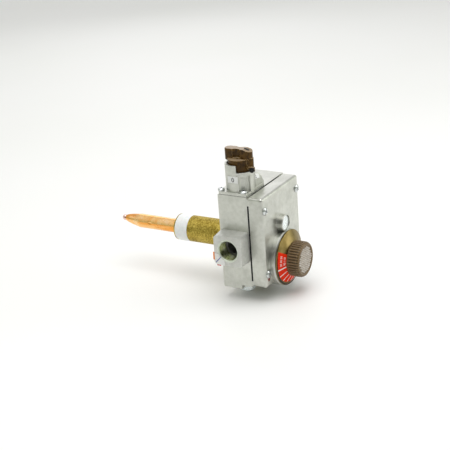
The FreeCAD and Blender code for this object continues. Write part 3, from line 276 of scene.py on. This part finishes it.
MATERIALS = {
    "cast_aluminium": cast_metal("cast_aluminium", (0.46, 0.468, 0.42), (0.60, 0.608, 0.555),
                                 (0.80, 0.80, 0.78)),
    "zinc_steel": bright_steel("zinc_steel", (0.50, 0.52, 0.52), (0.72, 0.75, 0.75)),
    "inner_steel": bright_steel("inner_steel", (0.42, 0.42, 0.41), (0.58, 0.58, 0.57), (0.25, 0.45)),
    "gasket": fibre("gasket", (0.006, 0.006, 0.007), (0.020, 0.020, 0.022)),
    # the gas-cock knob's edge colour is a painted highlight, and its upward faces get a painted highlight too
    "brown_plastic": plastic("brown_plastic", (0.022, 0.009, 0.001), (0.120, 0.058, 0.007), (0.16, 0.28),
                             (0.74, 0.50, 0.22), 0.95, gloss=0.16, repaint=lit_top_sheen),
    "black_plastic": plastic("black_plastic", (0.008, 0.008, 0.009), (0.020, 0.019, 0.018), gloss=0.25),
    "black_rubber": plastic("black_rubber", (0.006, 0.006, 0.006), (0.014, 0.013, 0.013), (0.45, 0.65),
                            gloss=0.2),
    "label_white": plastic("label_white", (0.80, 0.80, 0.78), (0.90, 0.90, 0.89), (0.40, 0.55)),
    "brass": grainy_brass("brass", (0.16, 0.105, 0.010), (0.42, 0.30, 0.040), (0.76, 0.60, 0.15),
                          (0.46, 0.66)),
    "coil_copper": grainy_brass("coil_copper", (0.35, 0.12, 0.05), (0.60, 0.25, 0.12), (0.75, 0.38, 0.2)),
    "felt": fibre("felt", (0.35, 0.31, 0.24), (0.55, 0.50, 0.42), 1100.0),
}


# ---------------------------------------------------------------- mesh helpers
def piece(name, points, faces, body, material, smooth=True, replaces=()):
    """Mesh object that rides on a body, has a slot and may stand in for CAD nodes."""
    mesh = bpy.data.meshes.new(name)
    mesh.from_pydata([tuple(p) for p in points], [], faces)
    mesh.validate()
    obj = bpy.data.objects.new(name, mesh)
    bpy.context.scene.collection.objects.link(obj)
    for polygon in mesh.polygons:
        polygon.use_smooth = smooth
    mesh.materials.append(material)
    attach(obj, body)
    if replaces:
        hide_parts(*replaces)
    return obj


def ring_faces(rings, around, closed=True):
    """Quads between rings of points; a closed shell joins its last ring to its first."""
    faces = []
    for i in range(rings if closed else rings - 1):
        for j in range(around):
            a, b = i * around + j, i * around + (j + 1) % around
            c, d = ((i + 1) % rings) * around + (j + 1) % around, ((i + 1) % rings) * around + j
            faces.append((a, b, c, d))
    return faces


# ---------------------------------------------------------------- places read from the frame
def centre_of(node):
    low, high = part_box(node)
    return (low + high) / 2


def mount(name):
    """Middle of a mount's thread, its outward axis, its length and its radius."""
    found = next(m for m in frame["record"]["mounts"] if m["name"] == name)
    length, radius = found["dims"]["length_mm"] * MM, found["dims"]["r_mm"] * MM
    return Vector(found["pos_m"]), Vector(found["axis"]), length, radius


X, Y, Z = Vector((1, 0, 0)), Vector((0, 1, 0)), Vector((0, 0, 1))
skirt_low, skirt_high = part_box("dial_skirt")
knob_low, knob_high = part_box("temperature_knob")
tube_low, tube_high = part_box("copper_tube")
tip_low, tip_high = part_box("tube_tip")
seal_low, seal_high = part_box("thread_seal")
shank_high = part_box("shank")[1]
dial = centre_of("temperature_knob")
dial_r = (skirt_high.x - skirt_low.x) / 2
KNOB_RIBS = 40.0


# ---------------------------------------------------------------- materials for the dial and the probe
def champagne():
    """Turned gold cone: fine circular grooves that spread its highlights into wedges."""
    paint = Paint("dial_gold", metallic=1.0, roughness=0.30, Anisotropic=0.8)
    from_axis = paint.mapped((1, 1, 1), location=(-dial.x, 0, -dial.z))
    across = paint.tree.nodes.new("ShaderNodeVectorMath")
    across.operation = "CROSS_PRODUCT"
    across.inputs[0].default_value = (0, 1, 0)
    paint.tree.links.new(from_axis, across.inputs[1])
    turned = paint.tree.nodes.new("ShaderNodeVectorTransform")
    turned.vector_type, turned.convert_from, turned.convert_to = "VECTOR", "OBJECT", "WORLD"
    paint.tree.links.new(across.outputs[0], turned.inputs[0])
    paint.feed("Tangent", turned.outputs[0])
    broad = paint.noise(120.0, 3.0, 0.5)
    shade = paint.ramp(broad, (0.35, (0.165, 0.118, 0.038)), (0.65, (0.27, 0.20, 0.078)))
    paint.feed("Base Color", shade)
    rings = paint.tree.nodes.new("ShaderNodeTexWave")
    rings.wave_type = "RINGS"
    rings.rings_direction = "Y"
    paint.tree.links.new(from_axis, rings.inputs["Vector"])
    rings.inputs["Scale"].default_value = 900.0
    rings.inputs["Distortion"].default_value = 0.4
    paint.feed("Normal", paint.bump(rings.outputs["Fac"], 0.00001, 0.35))
    return paint.material


def knob_rib_shading(paint, shade):
    """Painted shade in the valleys between the temperature knob's ribs and a painted highlight on their
    crests, on its side only.
    """
    rib_middle, rib_half = knob_high.y - 6.8 * MM, 4.9 * MM
    turn = paint.math("FRACT", paint.math("MULTIPLY", paint.angle(dial), KNOB_RIBS))
    from_crest = paint.math("ABSOLUTE", paint.math("SUBTRACT", turn, 0.5))
    # painted shade in the rib valleys and painted highlight on the rib crests
    valley_shade = paint.ramp(from_crest, (0.26, 0.0), (0.46, 0.85))
    crest_highlight = paint.ramp(from_crest, (0.02, 0.45), (0.16, 0.0))
    reach = paint.math("ABSOLUTE", paint.math("SUBTRACT", rib_middle, paint.height_along_y()))
    side = paint.math("LESS_THAN", reach, rib_half)
    shade = paint.mix(paint.math("MULTIPLY", valley_shade, side), shade, (0.012, 0.007, 0.003))
    return paint.mix(paint.math("MULTIPLY", crest_highlight, side), shade, (0.30, 0.21, 0.13))


def printed_red():
    """Red print of the dial's temperature band."""
    paint = Paint("dial_red", roughness=0.55, Specular_IOR_Level=0.08)
    ink = paint.noise(520.0, 5.0, 0.6)
    paint.feed("Base Color", paint.ramp(ink, (0.35, (0.80, 0.022, 0.003)), (0.65, (0.92, 0.045, 0.010))))
    paint.feed("Normal", paint.bump(ink, 0.00002, 0.3))
    return paint.material


def printed_white():
    """White print of the dial's bars and digits."""
    paint = Paint("dial_white", roughness=0.4)
    ink = paint.noise(900.0, 5.0, 0.6)
    paint.feed("Base Color", paint.ramp(ink, (0.3, (0.86, 0.83, 0.80)), (0.7, (0.95, 0.94, 0.92))))
    paint.feed("Normal", paint.bump(ink, 0.00002, 0.3))
    return paint.material


def bright_copper():
    """Drawn copper: long faint draw lines, pink and orange bloom and a few darker stains."""
    paint = Paint("copper", metallic=0.95)
    lines = paint.noise(420.0, 3.0, 0.6, paint.mapped((1.0, 0.05, 1.0)))
    streaks = paint.noise(150.0, 3.0, 0.6, paint.mapped((1.0, 0.12, 1.0)))
    bloom = paint.noise(70.0, 4.0, 0.65, distortion=0.8)
    stains = paint.noise(150.0, 5.0, 0.7)
    shade = paint.ramp(bloom, (0.30, (0.95, 0.47, 0.14)), (0.52, (1.0, 0.62, 0.26)),
                       (0.74, (1.0, 0.74, 0.50)))
    shade = paint.mix(paint.ramp(stains, (0.64, 0.0), (0.80, 0.45)), shade, (0.60, 0.25, 0.08))
    shade = paint.mix(paint.ramp(streaks, (0.48, 0.0), (0.60, 0.85)), shade, (0.88, 0.36, 0.06))
    paint.feed("Base Color", shade)
    paint.feed("Roughness", paint.ramp(bloom, (0.3, 0.16), (0.75, 0.34)))
    paint.feed("Normal", paint.bump(lines, 0.00004, 0.5))
    return paint.material


def brazed():
    """Lumpy pink ball that closes the probe."""
    paint = Paint("tip_braze", metallic=1.0)
    lumps = paint.noise(500.0, 4.0, 0.6, distortion=0.5)
    paint.feed("Base Color", paint.ramp(lumps, (0.3, (0.72, 0.42, 0.36)), (0.7, (1.0, 0.78, 0.72))))
    paint.feed("Roughness", paint.ramp(lumps, (0.3, 0.14), (0.7, 0.34)))
    paint.feed("Normal", paint.bump(lumps, 0.0002, 0.6))
    return paint.material


def sealing_white():
    """Smeared white thread sealant."""
    paint = Paint("seal_white", Subsurface_Weight=0.08, Subsurface_Scale=0.002)
    smears = paint.noise(260.0, 4.0, 0.6, paint.mapped((1.0, 2.5, 1.0)))
    paint.feed("Base Color", paint.ramp(smears, (0.3, (0.88, 0.88, 0.88)), (0.7, (0.96, 0.96, 0.97))))
    paint.feed("Roughness", paint.ramp(smears, (0.3, 0.36), (0.7, 0.58)))
    paint.feed("Normal", paint.bump(smears, 0.00012, 0.5))
    return paint.material


def chromate():
    """Cut thread in the casting, with a thin yellow-green passivation."""
    paint = Paint("thread_chromate", metallic=0.95)
    cloud = paint.noise(230.0, 4.0, 0.6)
    shade = paint.ramp(cloud, (0.32, (0.17, 0.20, 0.07)), (0.50, (0.32, 0.35, 0.18)),
                       (0.68, (0.50, 0.52, 0.38)))
    paint.feed("Base Color", shade)
    paint.feed("Roughness", paint.ramp(cloud, (0.3, 0.24), (0.7, 0.38)))
    paint.feed("Normal", paint.bump(paint.noise(2400.0, 2.0, 0.5), 0.00002, 0.5))
    return paint.material


def turned_rim():
    """Freshly turned zinc-aluminium, brighter than the cast skin round it."""
    paint = Paint("turned_rim", metallic=0.35)
    lines = paint.noise(1500.0, 3.0, 0.6)
    paint.feed("Base Color", paint.ramp(lines, (0.3, (0.62, 0.67, 0.56)), (0.7, (0.78, 0.83, 0.73))))
    paint.feed("Roughness", paint.ramp(lines, (0.3, 0.34), (0.7, 0.50)))
    paint.feed("Normal", paint.bump(lines, 0.00003, 0.4))
    return paint.material


def embossed_field():
    """Tops of the knob's pattern, lighter and greyer than its sides, with random paler patches."""
    paint = Paint("knob_pattern", roughness=0.38)
    dust = paint.noise(1300.0, 4.0, 0.6)
    pale_patches = paint.noise(240.0, 3.0, 0.6)
    shade = paint.ramp(dust, (0.3, (0.42, 0.37, 0.31)), (0.7, (0.62, 0.57, 0.51)))
    shade = paint.mix(paint.ramp(pale_patches, (0.45, 0.0), (0.70, 0.6)), shade, (0.78, 0.75, 0.71))
    paint.feed("Base Color", shade)
    paint.feed("Normal", paint.bump(dust, 0.00003, 0.4))
    return paint.material


MATERIALS["dial_gold"] = champagne()
# the temperature knob's edge colour is a painted highlight; its ribs get painted shade and painted highlights
MATERIALS["knob_brown"] = plastic("knob_brown", (0.118, 0.072, 0.028), (0.205, 0.136, 0.064), (0.28, 0.42),
                                  (0.46, 0.34, 0.21), 0.6, gloss=0.26, repaint=knob_rib_shading)
MATERIALS["dial_red"] = printed_red()
MATERIALS["copper"] = bright_copper()
MATERIALS["tip_braze"] = brazed()
MATERIALS["seal_white"] = sealing_white()
# painted light: a paler, less metallic copy of the zinc steel that stands in for extra light on the regulator
# plug and the magnet nut
zinc_lit_copy = bright_steel("zinc_lit_copy", (0.84, 0.90, 0.91), (0.95, 1.0, 1.0), (0.22, 0.36), 0.5,
                           metallic=0.55)
OWN_LOOK = {
    "regulator_plug": zinc_lit_copy,
    "magnet_nut": zinc_lit_copy,
    "pointer_pin": MATERIALS["black_plastic"],
    # painted light: the inlet boss gets a paler, less metallic copy of the cast aluminium that stands in for
    # light it does not get
    "inlet_boss": cast_metal("inlet_casting_lit_copy", (0.50, 0.505, 0.47), (0.64, 0.645, 0.61), (0.90, 0.90, 0.89),
                             roughness=(0.44, 0.58), metallic=0.62),
}
for name, node in nodes.items():
    for place in node.material_slots:
        place.material = OWN_LOOK.get(name, MATERIALS[place.material.name.split(".")[0]])


# ---------------------------------------------------------------- pieces: threads and sealing band
def sleeve(name, start, along, across, length, wall_r, root_r, depth, pitch, material, replaces=()):
    """Closed sleeve with a helical thread on one side; wall_r is its plain side."""
    third = along.cross(across)
    around, per_turn = 112, 12
    count = int(length / pitch * per_turn) + 1
    points = []

    def ring(reach, radius_at):
        for j in range(around):
            turn = 2 * math.pi * j / around
            out = across * math.cos(turn) + third * math.sin(turn)
            points.append(start + along * reach + out * radius_at(j))

    for i in range(count):
        reach = length * i / (count - 1)
        fade = max(0.0, min(1.0, reach / (0.7 * pitch), (length - reach) / (0.7 * pitch)))
        ring(reach, lambda j: root_r + depth * fade * abs(2 * ((reach / pitch - j / around) % 1.0) - 1))
    ring(length, lambda j: wall_r)
    ring(0.0, lambda j: wall_r)
    return piece(name, points, ring_faces(count + 2, around), "root", material, replaces=replaces)


PIPE_PITCH = 25.4 * MM / 14


def bore_thread(name, mount_name, across, material):
    """Threaded sleeve that lines a pipe mount's bore."""
    middle, outward, length, radius = mount(mount_name)
    end_gap = 0.1 * MM
    sleeve(name, middle + outward * (length / 2 - end_gap), -outward, across, length - 2 * end_gap,
           radius - 0.02 * MM, radius - 0.10 * MM, -1.10 * MM, PIPE_PITCH, material)


def mouth_ring(name, mount_name, across):
    """Turned chamfer round the mouth of a threaded bore."""
    middle, outward, length, bore_r = mount(mount_name)
    mouth = middle + outward * (length / 2)
    third = outward.cross(across)
    rim_r, back_r, throat_r = bore_r + 0.75 * MM, bore_r - 0.04 * MM, bore_r - 0.85 * MM
    proud, sunk, deep = 0.08 * MM, -0.02 * MM, -0.9 * MM
    profile = (
        (rim_r, proud),
        (bore_r + 0.05 * MM, proud),
        (throat_r, deep),
        (back_r, deep),
        (back_r, sunk),
        (rim_r, sunk),
    )
    around = 96
    points = []
    for radius, out in profile:
        for j in range(around):
            turn = 2 * math.pi * j / around
            points.append(mouth + outward * out + (across * math.cos(turn) + third * math.sin(turn)) * radius)
    return piece(name, points, ring_faces(len(profile), around), "root", turned_rim(),
                 smooth=False)


def sealing_band():
    """Thread sealant on the shank, with the thread's ridges showing through."""
    seal_r = (seal_high.x - seal_low.x) / 2
    sleeve("tank_thread_seal", Vector((0, seal_low.y, 0)), Y, X, seal_high.y - seal_low.y,
           seal_r - 0.55 * MM, seal_r - 0.22 * MM, 0.30 * MM, PIPE_PITCH,
           MATERIALS["seal_white"], replaces=("thread_seal",))


chromate_metal = chromate()
bore_thread("inlet_thread", "gas_inlet", Y, chromate_metal)
bore_thread("outlet_thread", "gas_outlet", X, chromate_metal)
mouth_ring("inlet_mouth", "gas_inlet", Y)
sealing_band()


# ---------------------------------------------------------------- pieces: probe tube
def probe_tube():
    """Drawn tube whose end is swaged to four soft creases, close round the ball."""
    tube_r = (tube_high.x - tube_low.x) / 2
    tip = (tip_low + tip_high) / 2
    ball_r = (tip_high.x - tip_low.x) / 2
    start, straight, end = shank_high.y - 6 * MM, tube_high.y - 18.6 * MM, tip_low.y + 1.3 * MM
    dent_y, dent_turn, dent_depth = straight - 15 * MM, 2.95, 0.55 * MM
    around, points, wall = 128, [], 0.8 * MM
    stations = [start + (straight - start) * i / 40 for i in range(40)]
    stations += [straight + (end - straight) * i / 60 for i in range(61)]

    def radius_at(y, turn):
        t = max(0.0, (y - straight) / (end - straight))
        r = tube_r + (1.05 * ball_r - tube_r) * (0.78 * t + 0.22 * t ** 6)
        crease = 0.24 * math.sin(math.pi * min(1.0, t * 1.05)) ** 1.5
        r *= 1.0 - crease * (0.5 + 0.5 * math.cos(4 * (turn - 0.5))) ** 3
        # shallow dent half way along the side that faces the inlet
        along = (y - dent_y) / (2.4 * MM)
        side = math.atan2(math.sin(turn - dent_turn), math.cos(turn - dent_turn)) / 0.26
        return r - dent_depth * math.exp(-along * along - side * side)

    def ring(y, inset, least):
        centre_z = tip.z * max(0.0, min(1.0, (y - straight) / (end - straight)))
        for j in range(around):
            turn = 2 * math.pi * j / around
            r = max(radius_at(y, turn) - inset, least)
            points.append(Vector((r * math.cos(turn), y, centre_z + r * math.sin(turn))))

    for y in stations:
        ring(y, 0.0, 0.0)
    for y in reversed(stations):
        ring(y, wall, 0.3 * MM)
    return piece("probe_tube", points, ring_faces(2 * len(stations), around), "root",
                 MATERIALS["copper"], replaces=("copper_tube",))


probe_tube()


# ---------------------------------------------------------------- pieces: temperature dial
CONE_DROP, CONE_NECK_R = 5.3 * MM, 16.4 * MM
CONE_SLOPE = CONE_DROP / (dial_r - CONE_NECK_R)


def on_cone(radius, degrees, lift):
    """Point in front of the dial's cone, at a radius and an angle counted from +X."""
    turn = math.radians(degrees)
    y = skirt_low.y + (radius - CONE_NECK_R) * CONE_SLOPE - lift
    return Vector((dial.x + radius * math.cos(turn), y, dial.z + radius * math.sin(turn)))


def cone_band(name, inner, outer, start, end, low, high, material, replaces=()):
    """Thin plate on the cone; inner and outer give its radii at a share of its turn."""
    steps = max(2, int(abs(end - start) / 1.5))
    points = []
    for i in range(steps + 1):
        share = i / steps
        degrees = start + (end - start) * share
        for edge, lift in ((inner, low), (outer, low), (outer, high), (inner, high)):
            points.append(on_cone(edge(share), degrees, lift))
    faces = ring_faces(steps + 1, 4, closed=False)
    faces += [(3, 2, 1, 0), tuple(4 * steps + k for k in range(4))]
    return piece(name, points, faces, "temperature_dial", material, smooth=False, replaces=replaces)


INK_LOW, INK_TOP, MARK_TOP = 0.01 * MM, 0.14 * MM, 0.22 * MM
BAND_START, BAND_END = 147.5, 318.0
BARS = ((188.5, 1.15), (206.0, 0.80), (223.5, 0.85), (241.0, 0.85), (258.5, 0.80), (276.0, 0.75),
        (293.5, 0.70))
band_inner = CONE_NECK_R + 0.5 * MM
band_outer = dial_r - 0.6 * MM
white_ink = printed_white()


def steady(radius):
    """The same radius all along a band."""
    return lambda share: radius


def band_edge(share):
    """The red band keeps its width at first, then narrows like a wedge to its end."""
    narrowing = max(0.0, (share - 0.25) / 0.75)
    return band_outer - (band_outer - band_inner - 2.2 * MM) * narrowing ** 1.1


def rim_shadow_edge(share):
    """Inner edge of the painted shadow along the dial's rim: a black line, widest half way."""
    return dial_r - (0.55 + 0.95 * math.sin(math.pi * share) ** 0.7) * MM


def dial_bars():
    """White bars across the red band; each has its place in degrees and its width in mm."""
    width_r = 22 * MM
    for index, (degrees, width) in enumerate(BARS):
        top = band_edge((degrees - BAND_START) / (BAND_END - BAND_START)) - 0.3 * MM
        half = math.degrees(width * MM / (2 * width_r))
        cone_band(f"dial_bar_{index}", steady(band_inner + 0.5 * MM), steady(top),
                  degrees - half, degrees + half, INK_TOP, MARK_TOP, white_ink)


cone_band("dial_print", steady(band_inner), band_edge, BAND_START, BAND_END, INK_LOW, INK_TOP,
          MATERIALS["dial_red"], replaces=("dial_label",))
# painted shadow: black band at the dial's rim standing for the dark gap behind it, widest half way along
cone_band("dial_rim_shadow", rim_shadow_edge, steady(dial_r - 0.35 * MM), 150.0, 342.0, INK_LOW, MARK_TOP,
          MATERIALS["black_plastic"])
dial_bars()


def lettering(text, size, depth):
    """Flat outline mesh of generic digits: points (across, up, out) and faces, centred on its width."""
    curve = bpy.data.curves.new("digits", "FONT")
    curve.body = text
    curve.size = size
    curve.extrude = depth / 2
    curve.resolution_u = 4
    holder = bpy.data.objects.new("digits", curve)
    mesh = bpy.data.meshes.new_from_object(holder)
    points = [v.co.copy() for v in mesh.vertices]
    faces = [tuple(p.vertices) for p in mesh.polygons]
    bpy.data.objects.remove(holder)
    middle = (min(p.x for p in points) + max(p.x for p in points)) / 2
    return [Vector((p.x - middle, p.y, p.z + depth / 2)) for p in points], faces


def dial_digits(name, text, radius, degrees, size):
    """Generic digits bent round the cone."""
    points, faces = lettering(text, size, 0.09 * MM)
    placed = [on_cone(radius + p.y, degrees - math.degrees(p.x / radius), INK_TOP + p.z) for p in points]
    return piece(name, placed, faces, "temperature_dial", white_ink, smooth=False)


dial_digits("dial_digits_outer", "30 40 50", band_outer - 5.0 * MM, 168.0, 2.8 * MM)
dial_digits("dial_digits_inner", "90 110", band_inner + 1.2 * MM, 169.0, 2.8 * MM)


def knob_pattern():
    """Field of small four-sided studs on the knob's front."""
    field_r, height = 13.6 * MM, 0.5 * MM
    column_step, row_step = 1.75 * MM, 2.35 * MM
    stud_across, stud_tall = 1.75 * column_step, 0.92 * row_step
    face_y = knob_low.y + height
    points, faces = [], []
    for column in range(-9, 10):
        for row in range(-7, 8):
            x = column * column_step
            z = (row + 0.5 * (column % 2)) * row_step
            if math.hypot(x, z) + 0.55 * row_step > field_r:
                continue
            base = len(points)
            for share, out in ((0.5, 0.0), (0.24, height)):
                for dx, dz in ((1, 0), (0, 1), (-1, 0), (0, -1)):
                    points.append(Vector((dial.x + x + dx * share * stud_across, face_y - out,
                                          dial.z + z + dz * share * stud_tall)))
            for k in range(4):
                after = (k + 1) % 4
                faces.append((base + k, base + after, base + 4 + after, base + 4 + k))
            faces.append((base + 4, base + 5, base + 6, base + 7))
            faces.append((base + 3, base + 2, base + 1, base))
    return piece("knob_pattern", points, faces, "temperature_dial", embossed_field(),
                 smooth=False)


knob_pattern()


# ---------------------------------------------------------------- pieces: marks on the bonnet's label pads
def flat_marks(name, text, place, right, up, out, size, body, material):
    """Generic digits on a flat face, centred on place."""
    points, faces = lettering(text, size, 0.16 * MM)
    placed = [place + right * p.x + up * (p.y - 0.36 * size) + out * (p.z - 0.02 * MM) for p in points]
    return piece(name, placed, faces, body, material, smooth=False)


def plate(name, outline, out, thickness, body, material):
    """Thin closed plate over a convex outline of points."""
    count = len(outline)
    points = list(outline) + [p + out * thickness for p in outline]
    faces = [tuple(range(count))[::-1], tuple(range(count, 2 * count))]
    faces += [(i, (i + 1) % count, count + (i + 1) % count, count + i) for i in range(count)]
    return piece(name, points, faces, body, material, smooth=False)


def ink(name, dark, light):
    """Slightly uneven print or paint."""
    paint = Paint(name, roughness=0.45)
    flow = paint.noise(1200.0, 4.0, 0.6)
    paint.feed("Base Color", paint.ramp(flow, (0.35, dark), (0.65, light)))
    return paint.material


black_ink = ink("pad_ink", (0.020, 0.020, 0.022), (0.05, 0.05, 0.052))
pad_white = ink("pad_white", (0.80, 0.81, 0.80), (0.90, 0.905, 0.90))


def pad_with_mark(name, text, centre, right, up, half_across, half_up, size):
    """Bright painted face on a casting's label pad, with generic marks in black."""
    paint_thickness = 0.12 * MM
    out = right.cross(up)
    corners = [centre + right * across * half_across + up * sheen_mask * half_up
               for across, sheen_mask in ((1, 1), (-1, 1), (-1, -1), (1, -1))]
    plate(f"pad_face_{name}", corners[::-1], out, paint_thickness, "root", pad_white)
    flat_marks(f"pad_mark_{name}", text, centre + out * (paint_thickness + 0.01 * MM), right, up, out, size,
               "root", black_ink)


def left_pad():
    """Upright pad on the turret's left side."""
    centre = Vector((cock.x - 14.41 * MM, cock.y, 72.7 * MM))
    pad_with_mark("left", "0", centre, -Y, Z, 5.3 * MM, 3.2 * MM, 6.2 * MM)


def front_pad():
    """Sloping pad in front of the turret: it leans back, and its right end is lower."""
    lean, fall = math.atan2(2.7, 6.5), math.atan2(3.1, 18.5)
    slope_up = Vector((0, math.sin(lean), math.cos(lean)))
    right = (X * math.cos(fall) - slope_up * math.sin(fall)).normalized()
    up = (slope_up * math.cos(fall) + X * math.sin(fall)).normalized()
    skin = right.cross(up) * 0.51 * MM
    centre = Vector((-16.9 * MM, cock.y - 11.85 * MM, 70.5 * MM)) + skin
    pad_with_mark("front", "1  2", centre, right, up, 7.9 * MM, 2.15 * MM, 4.6 * MM)


cock = centre_of("reset_rod")
left_pad()
front_pad()


# ---------------------------------------------------------------- pieces: paint spot under a cover screw
def paint_spot():
    """Dab of red-brown paint on the cover, below its lower left screw."""
    plug_proud, around = 5.3 * MM, 24
    half_across, half_up = 2.2 * MM, 1.9 * MM
    screw_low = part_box("cover_screws")[0]
    cover_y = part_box("regulator_plug")[0].y + plug_proud
    centre = Vector((screw_low.x + 5.0 * MM, cover_y, screw_low.z - 1.6 * MM))
    outline = []
    for k in range(around):
        turn = 2 * math.pi * k / around
        ragged = 1.0 + 0.16 * math.sin(3 * turn + 0.6) + 0.10 * math.sin(5 * turn)
        outline.append(centre + (X * half_across * math.cos(turn) + Z * half_up * math.sin(turn)) * ragged)
    plate("paint_spot", outline, -Y, 0.12 * MM, "root",
          ink("spot", (0.16, 0.02, 0.01), (0.30, 0.05, 0.03)))


paint_spot()


# ---------------------------------------------------------------- pieces: marks on the inlet's paper seal
def seal_mark(name, outline, dark, light):
    """Printed patch on the seal's outer face; its outline counts in mm from the boss's lower back corner."""
    boss_low, boss_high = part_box("inlet_boss")
    face_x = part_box("inlet_label")[0].x - 0.02 * MM
    corners = [Vector((face_x, boss_high.y + y * MM, boss_low.z + z * MM)) for y, z in outline]
    plate(name, corners, -X, 0.10 * MM, "root", ink(name, dark, light))


seal_mark("seal_mark_orange", [(0.4, 5.6), (-1.2, 5.4), (-1.2, 13.3), (0.4, 13.5)],
          (0.80, 0.20, 0.03), (0.92, 0.30, 0.06))
seal_mark("seal_mark_blue", [(-8.3, 8.9), (-7.9, 9.4), (-1.8, 3.0), (-2.4, 2.5)],
          (0.05, 0.07, 0.30), (0.11, 0.13, 0.42))
seal_mark("seal_mark_red", [(-3.4, 0.9), (-3.3, 0.0), (-7.6, -0.2), (-7.6, 0.8)],
          (0.55, 0.03, 0.02), (0.75, 0.06, 0.03))


# ---------------------------------------------------------------- stage: floor, light and camera
def floor():
    """Pale floor just under the part."""
    paint = Paint("stage_floor", roughness=0.55)
    cloud = paint.noise(3.0, 2.0, 0.5)
    paint.feed("Base Color", paint.ramp(cloud, (0.3, (0.93, 0.935, 0.92)), (0.7, (0.95, 0.95, 0.945))))
    half, z = 3.0, cad_low.z - 0.0002
    corners = [(-half, -half, z), (half, -half, z), (half, half, z), (-half, half, z)]
    mesh = bpy.data.meshes.new("stage_floor")
    mesh.from_pydata(corners, [], [(0, 1, 2, 3)])
    obj = bpy.data.objects.new("stage_floor", mesh)
    bpy.context.scene.collection.objects.link(obj)
    mesh.materials.append(paint.material)


def area_light(name, place, target, size, watts, colour):
    """Round soft light at place, turned to the target."""
    light = bpy.data.lights.new(name, "AREA")
    light.shape = "DISK"
    light.size = size
    light.energy = watts
    light.color = colour
    obj = bpy.data.objects.new(name, light)
    obj.location = place
    obj.rotation_mode = "QUATERNION"
    obj.rotation_quaternion = (Vector(target) - Vector(place)).to_track_quat("-Z", "Y")
    bpy.context.scene.collection.objects.link(obj)


def world():
    """Pale room, darker below and light behind on the right; it is unlit towards the front left."""
    made = bpy.data.worlds.new("studio")
    made.use_nodes = True
    tree = made.node_tree
    background = tree.nodes["Background"]
    direction = tree.nodes.new("ShaderNodeTexCoord").outputs["Generated"]

    def toward(way, low, high):
        """0 to 1 as a direction's cosine with way goes from low to high."""
        dot = tree.nodes.new("ShaderNodeVectorMath")
        dot.operation = "DOT_PRODUCT"
        tree.links.new(direction, dot.inputs[0])
        dot.inputs[1].default_value = Vector(way).normalized()
        ramp = tree.nodes.new("ShaderNodeMapRange")
        ramp.interpolation_type = "SMOOTHSTEP"
        tree.links.new(dot.outputs["Value"], ramp.inputs["Value"])
        ramp.inputs["From Min"].default_value, ramp.inputs["From Max"].default_value = low, high
        return ramp.outputs["Result"]

    def blend(factor, first, second):
        mix = tree.nodes.new("ShaderNodeMix")
        mix.data_type = "RGBA"
        tree.links.new(factor, mix.inputs["Factor"])
        for value, socket in ((first, mix.inputs[6]), (second, mix.inputs[7])):
            if isinstance(value, tuple):
                socket.default_value = (*value, 1.0)
            else:
                tree.links.new(value, socket)
        return mix.outputs[2]

    room = blend(toward((0, 0, 1), -0.05, 0.75), (0.55, 0.63, 0.44), (0.92, 0.92, 0.90))
    room = blend(toward((0.79, 0.48, 0.30), 0.55, 0.95), room, (0.80, 0.80, 0.81))
    room = blend(toward((-0.75, -0.60, 0.12), 0.45, 0.88), room, (0.05, 0.05, 0.048))
    tree.links.new(room, background.inputs["Color"])
    background.inputs["Strength"].default_value = 0.86
    bpy.context.scene.world = made


def camera(place, azimuth, elevation, roll, lens):
    """Camera at place, looking back along the azimuth and elevation of its own side, turned by roll."""
    a, e, r = (math.radians(x) for x in (azimuth, elevation, roll))
    back = Vector((math.sin(a) * math.cos(e), -math.cos(a) * math.cos(e), math.sin(e)))
    right = Vector((math.cos(a), math.sin(a), 0.0))
    up = back.cross(right)
    side = right * math.cos(r) + up * math.sin(r)
    top = up * math.cos(r) - right * math.sin(r)
    data = bpy.data.cameras.new("camera")
    data.lens, data.sensor_width = lens, 36.0
    data.clip_start, data.clip_end = 0.05, 20.0
    obj = bpy.data.objects.new("camera", data)
    obj.matrix_world = Matrix.Translation(place) @ Matrix((side, top, back)).transposed().to_4x4()
    bpy.context.scene.collection.objects.link(obj)
    bpy.context.scene.camera = obj


floor()
world()
area_light("key_top", (-0.15, -0.25, 1.35), (0, -0.03, 0), 1.3, 10.4, (1.0, 0.99, 0.99))
area_light("back_right", (1.05, 0.70, 0.62), (0, 0, 0), 0.8, 1.4, (1.0, 0.99, 1.0))
area_light("front_right", (0.75, -1.05, 0.35), (0, -0.03, 0), 0.7, 3.0, (1.0, 0.99, 1.0))
camera(Vector((-0.8347, -0.55415, 0.3972)), azimuth=-58.62, elevation=21.67, roll=-4.34, lens=84.4)
bpy.context.scene.view_settings.view_transform = "Standard"
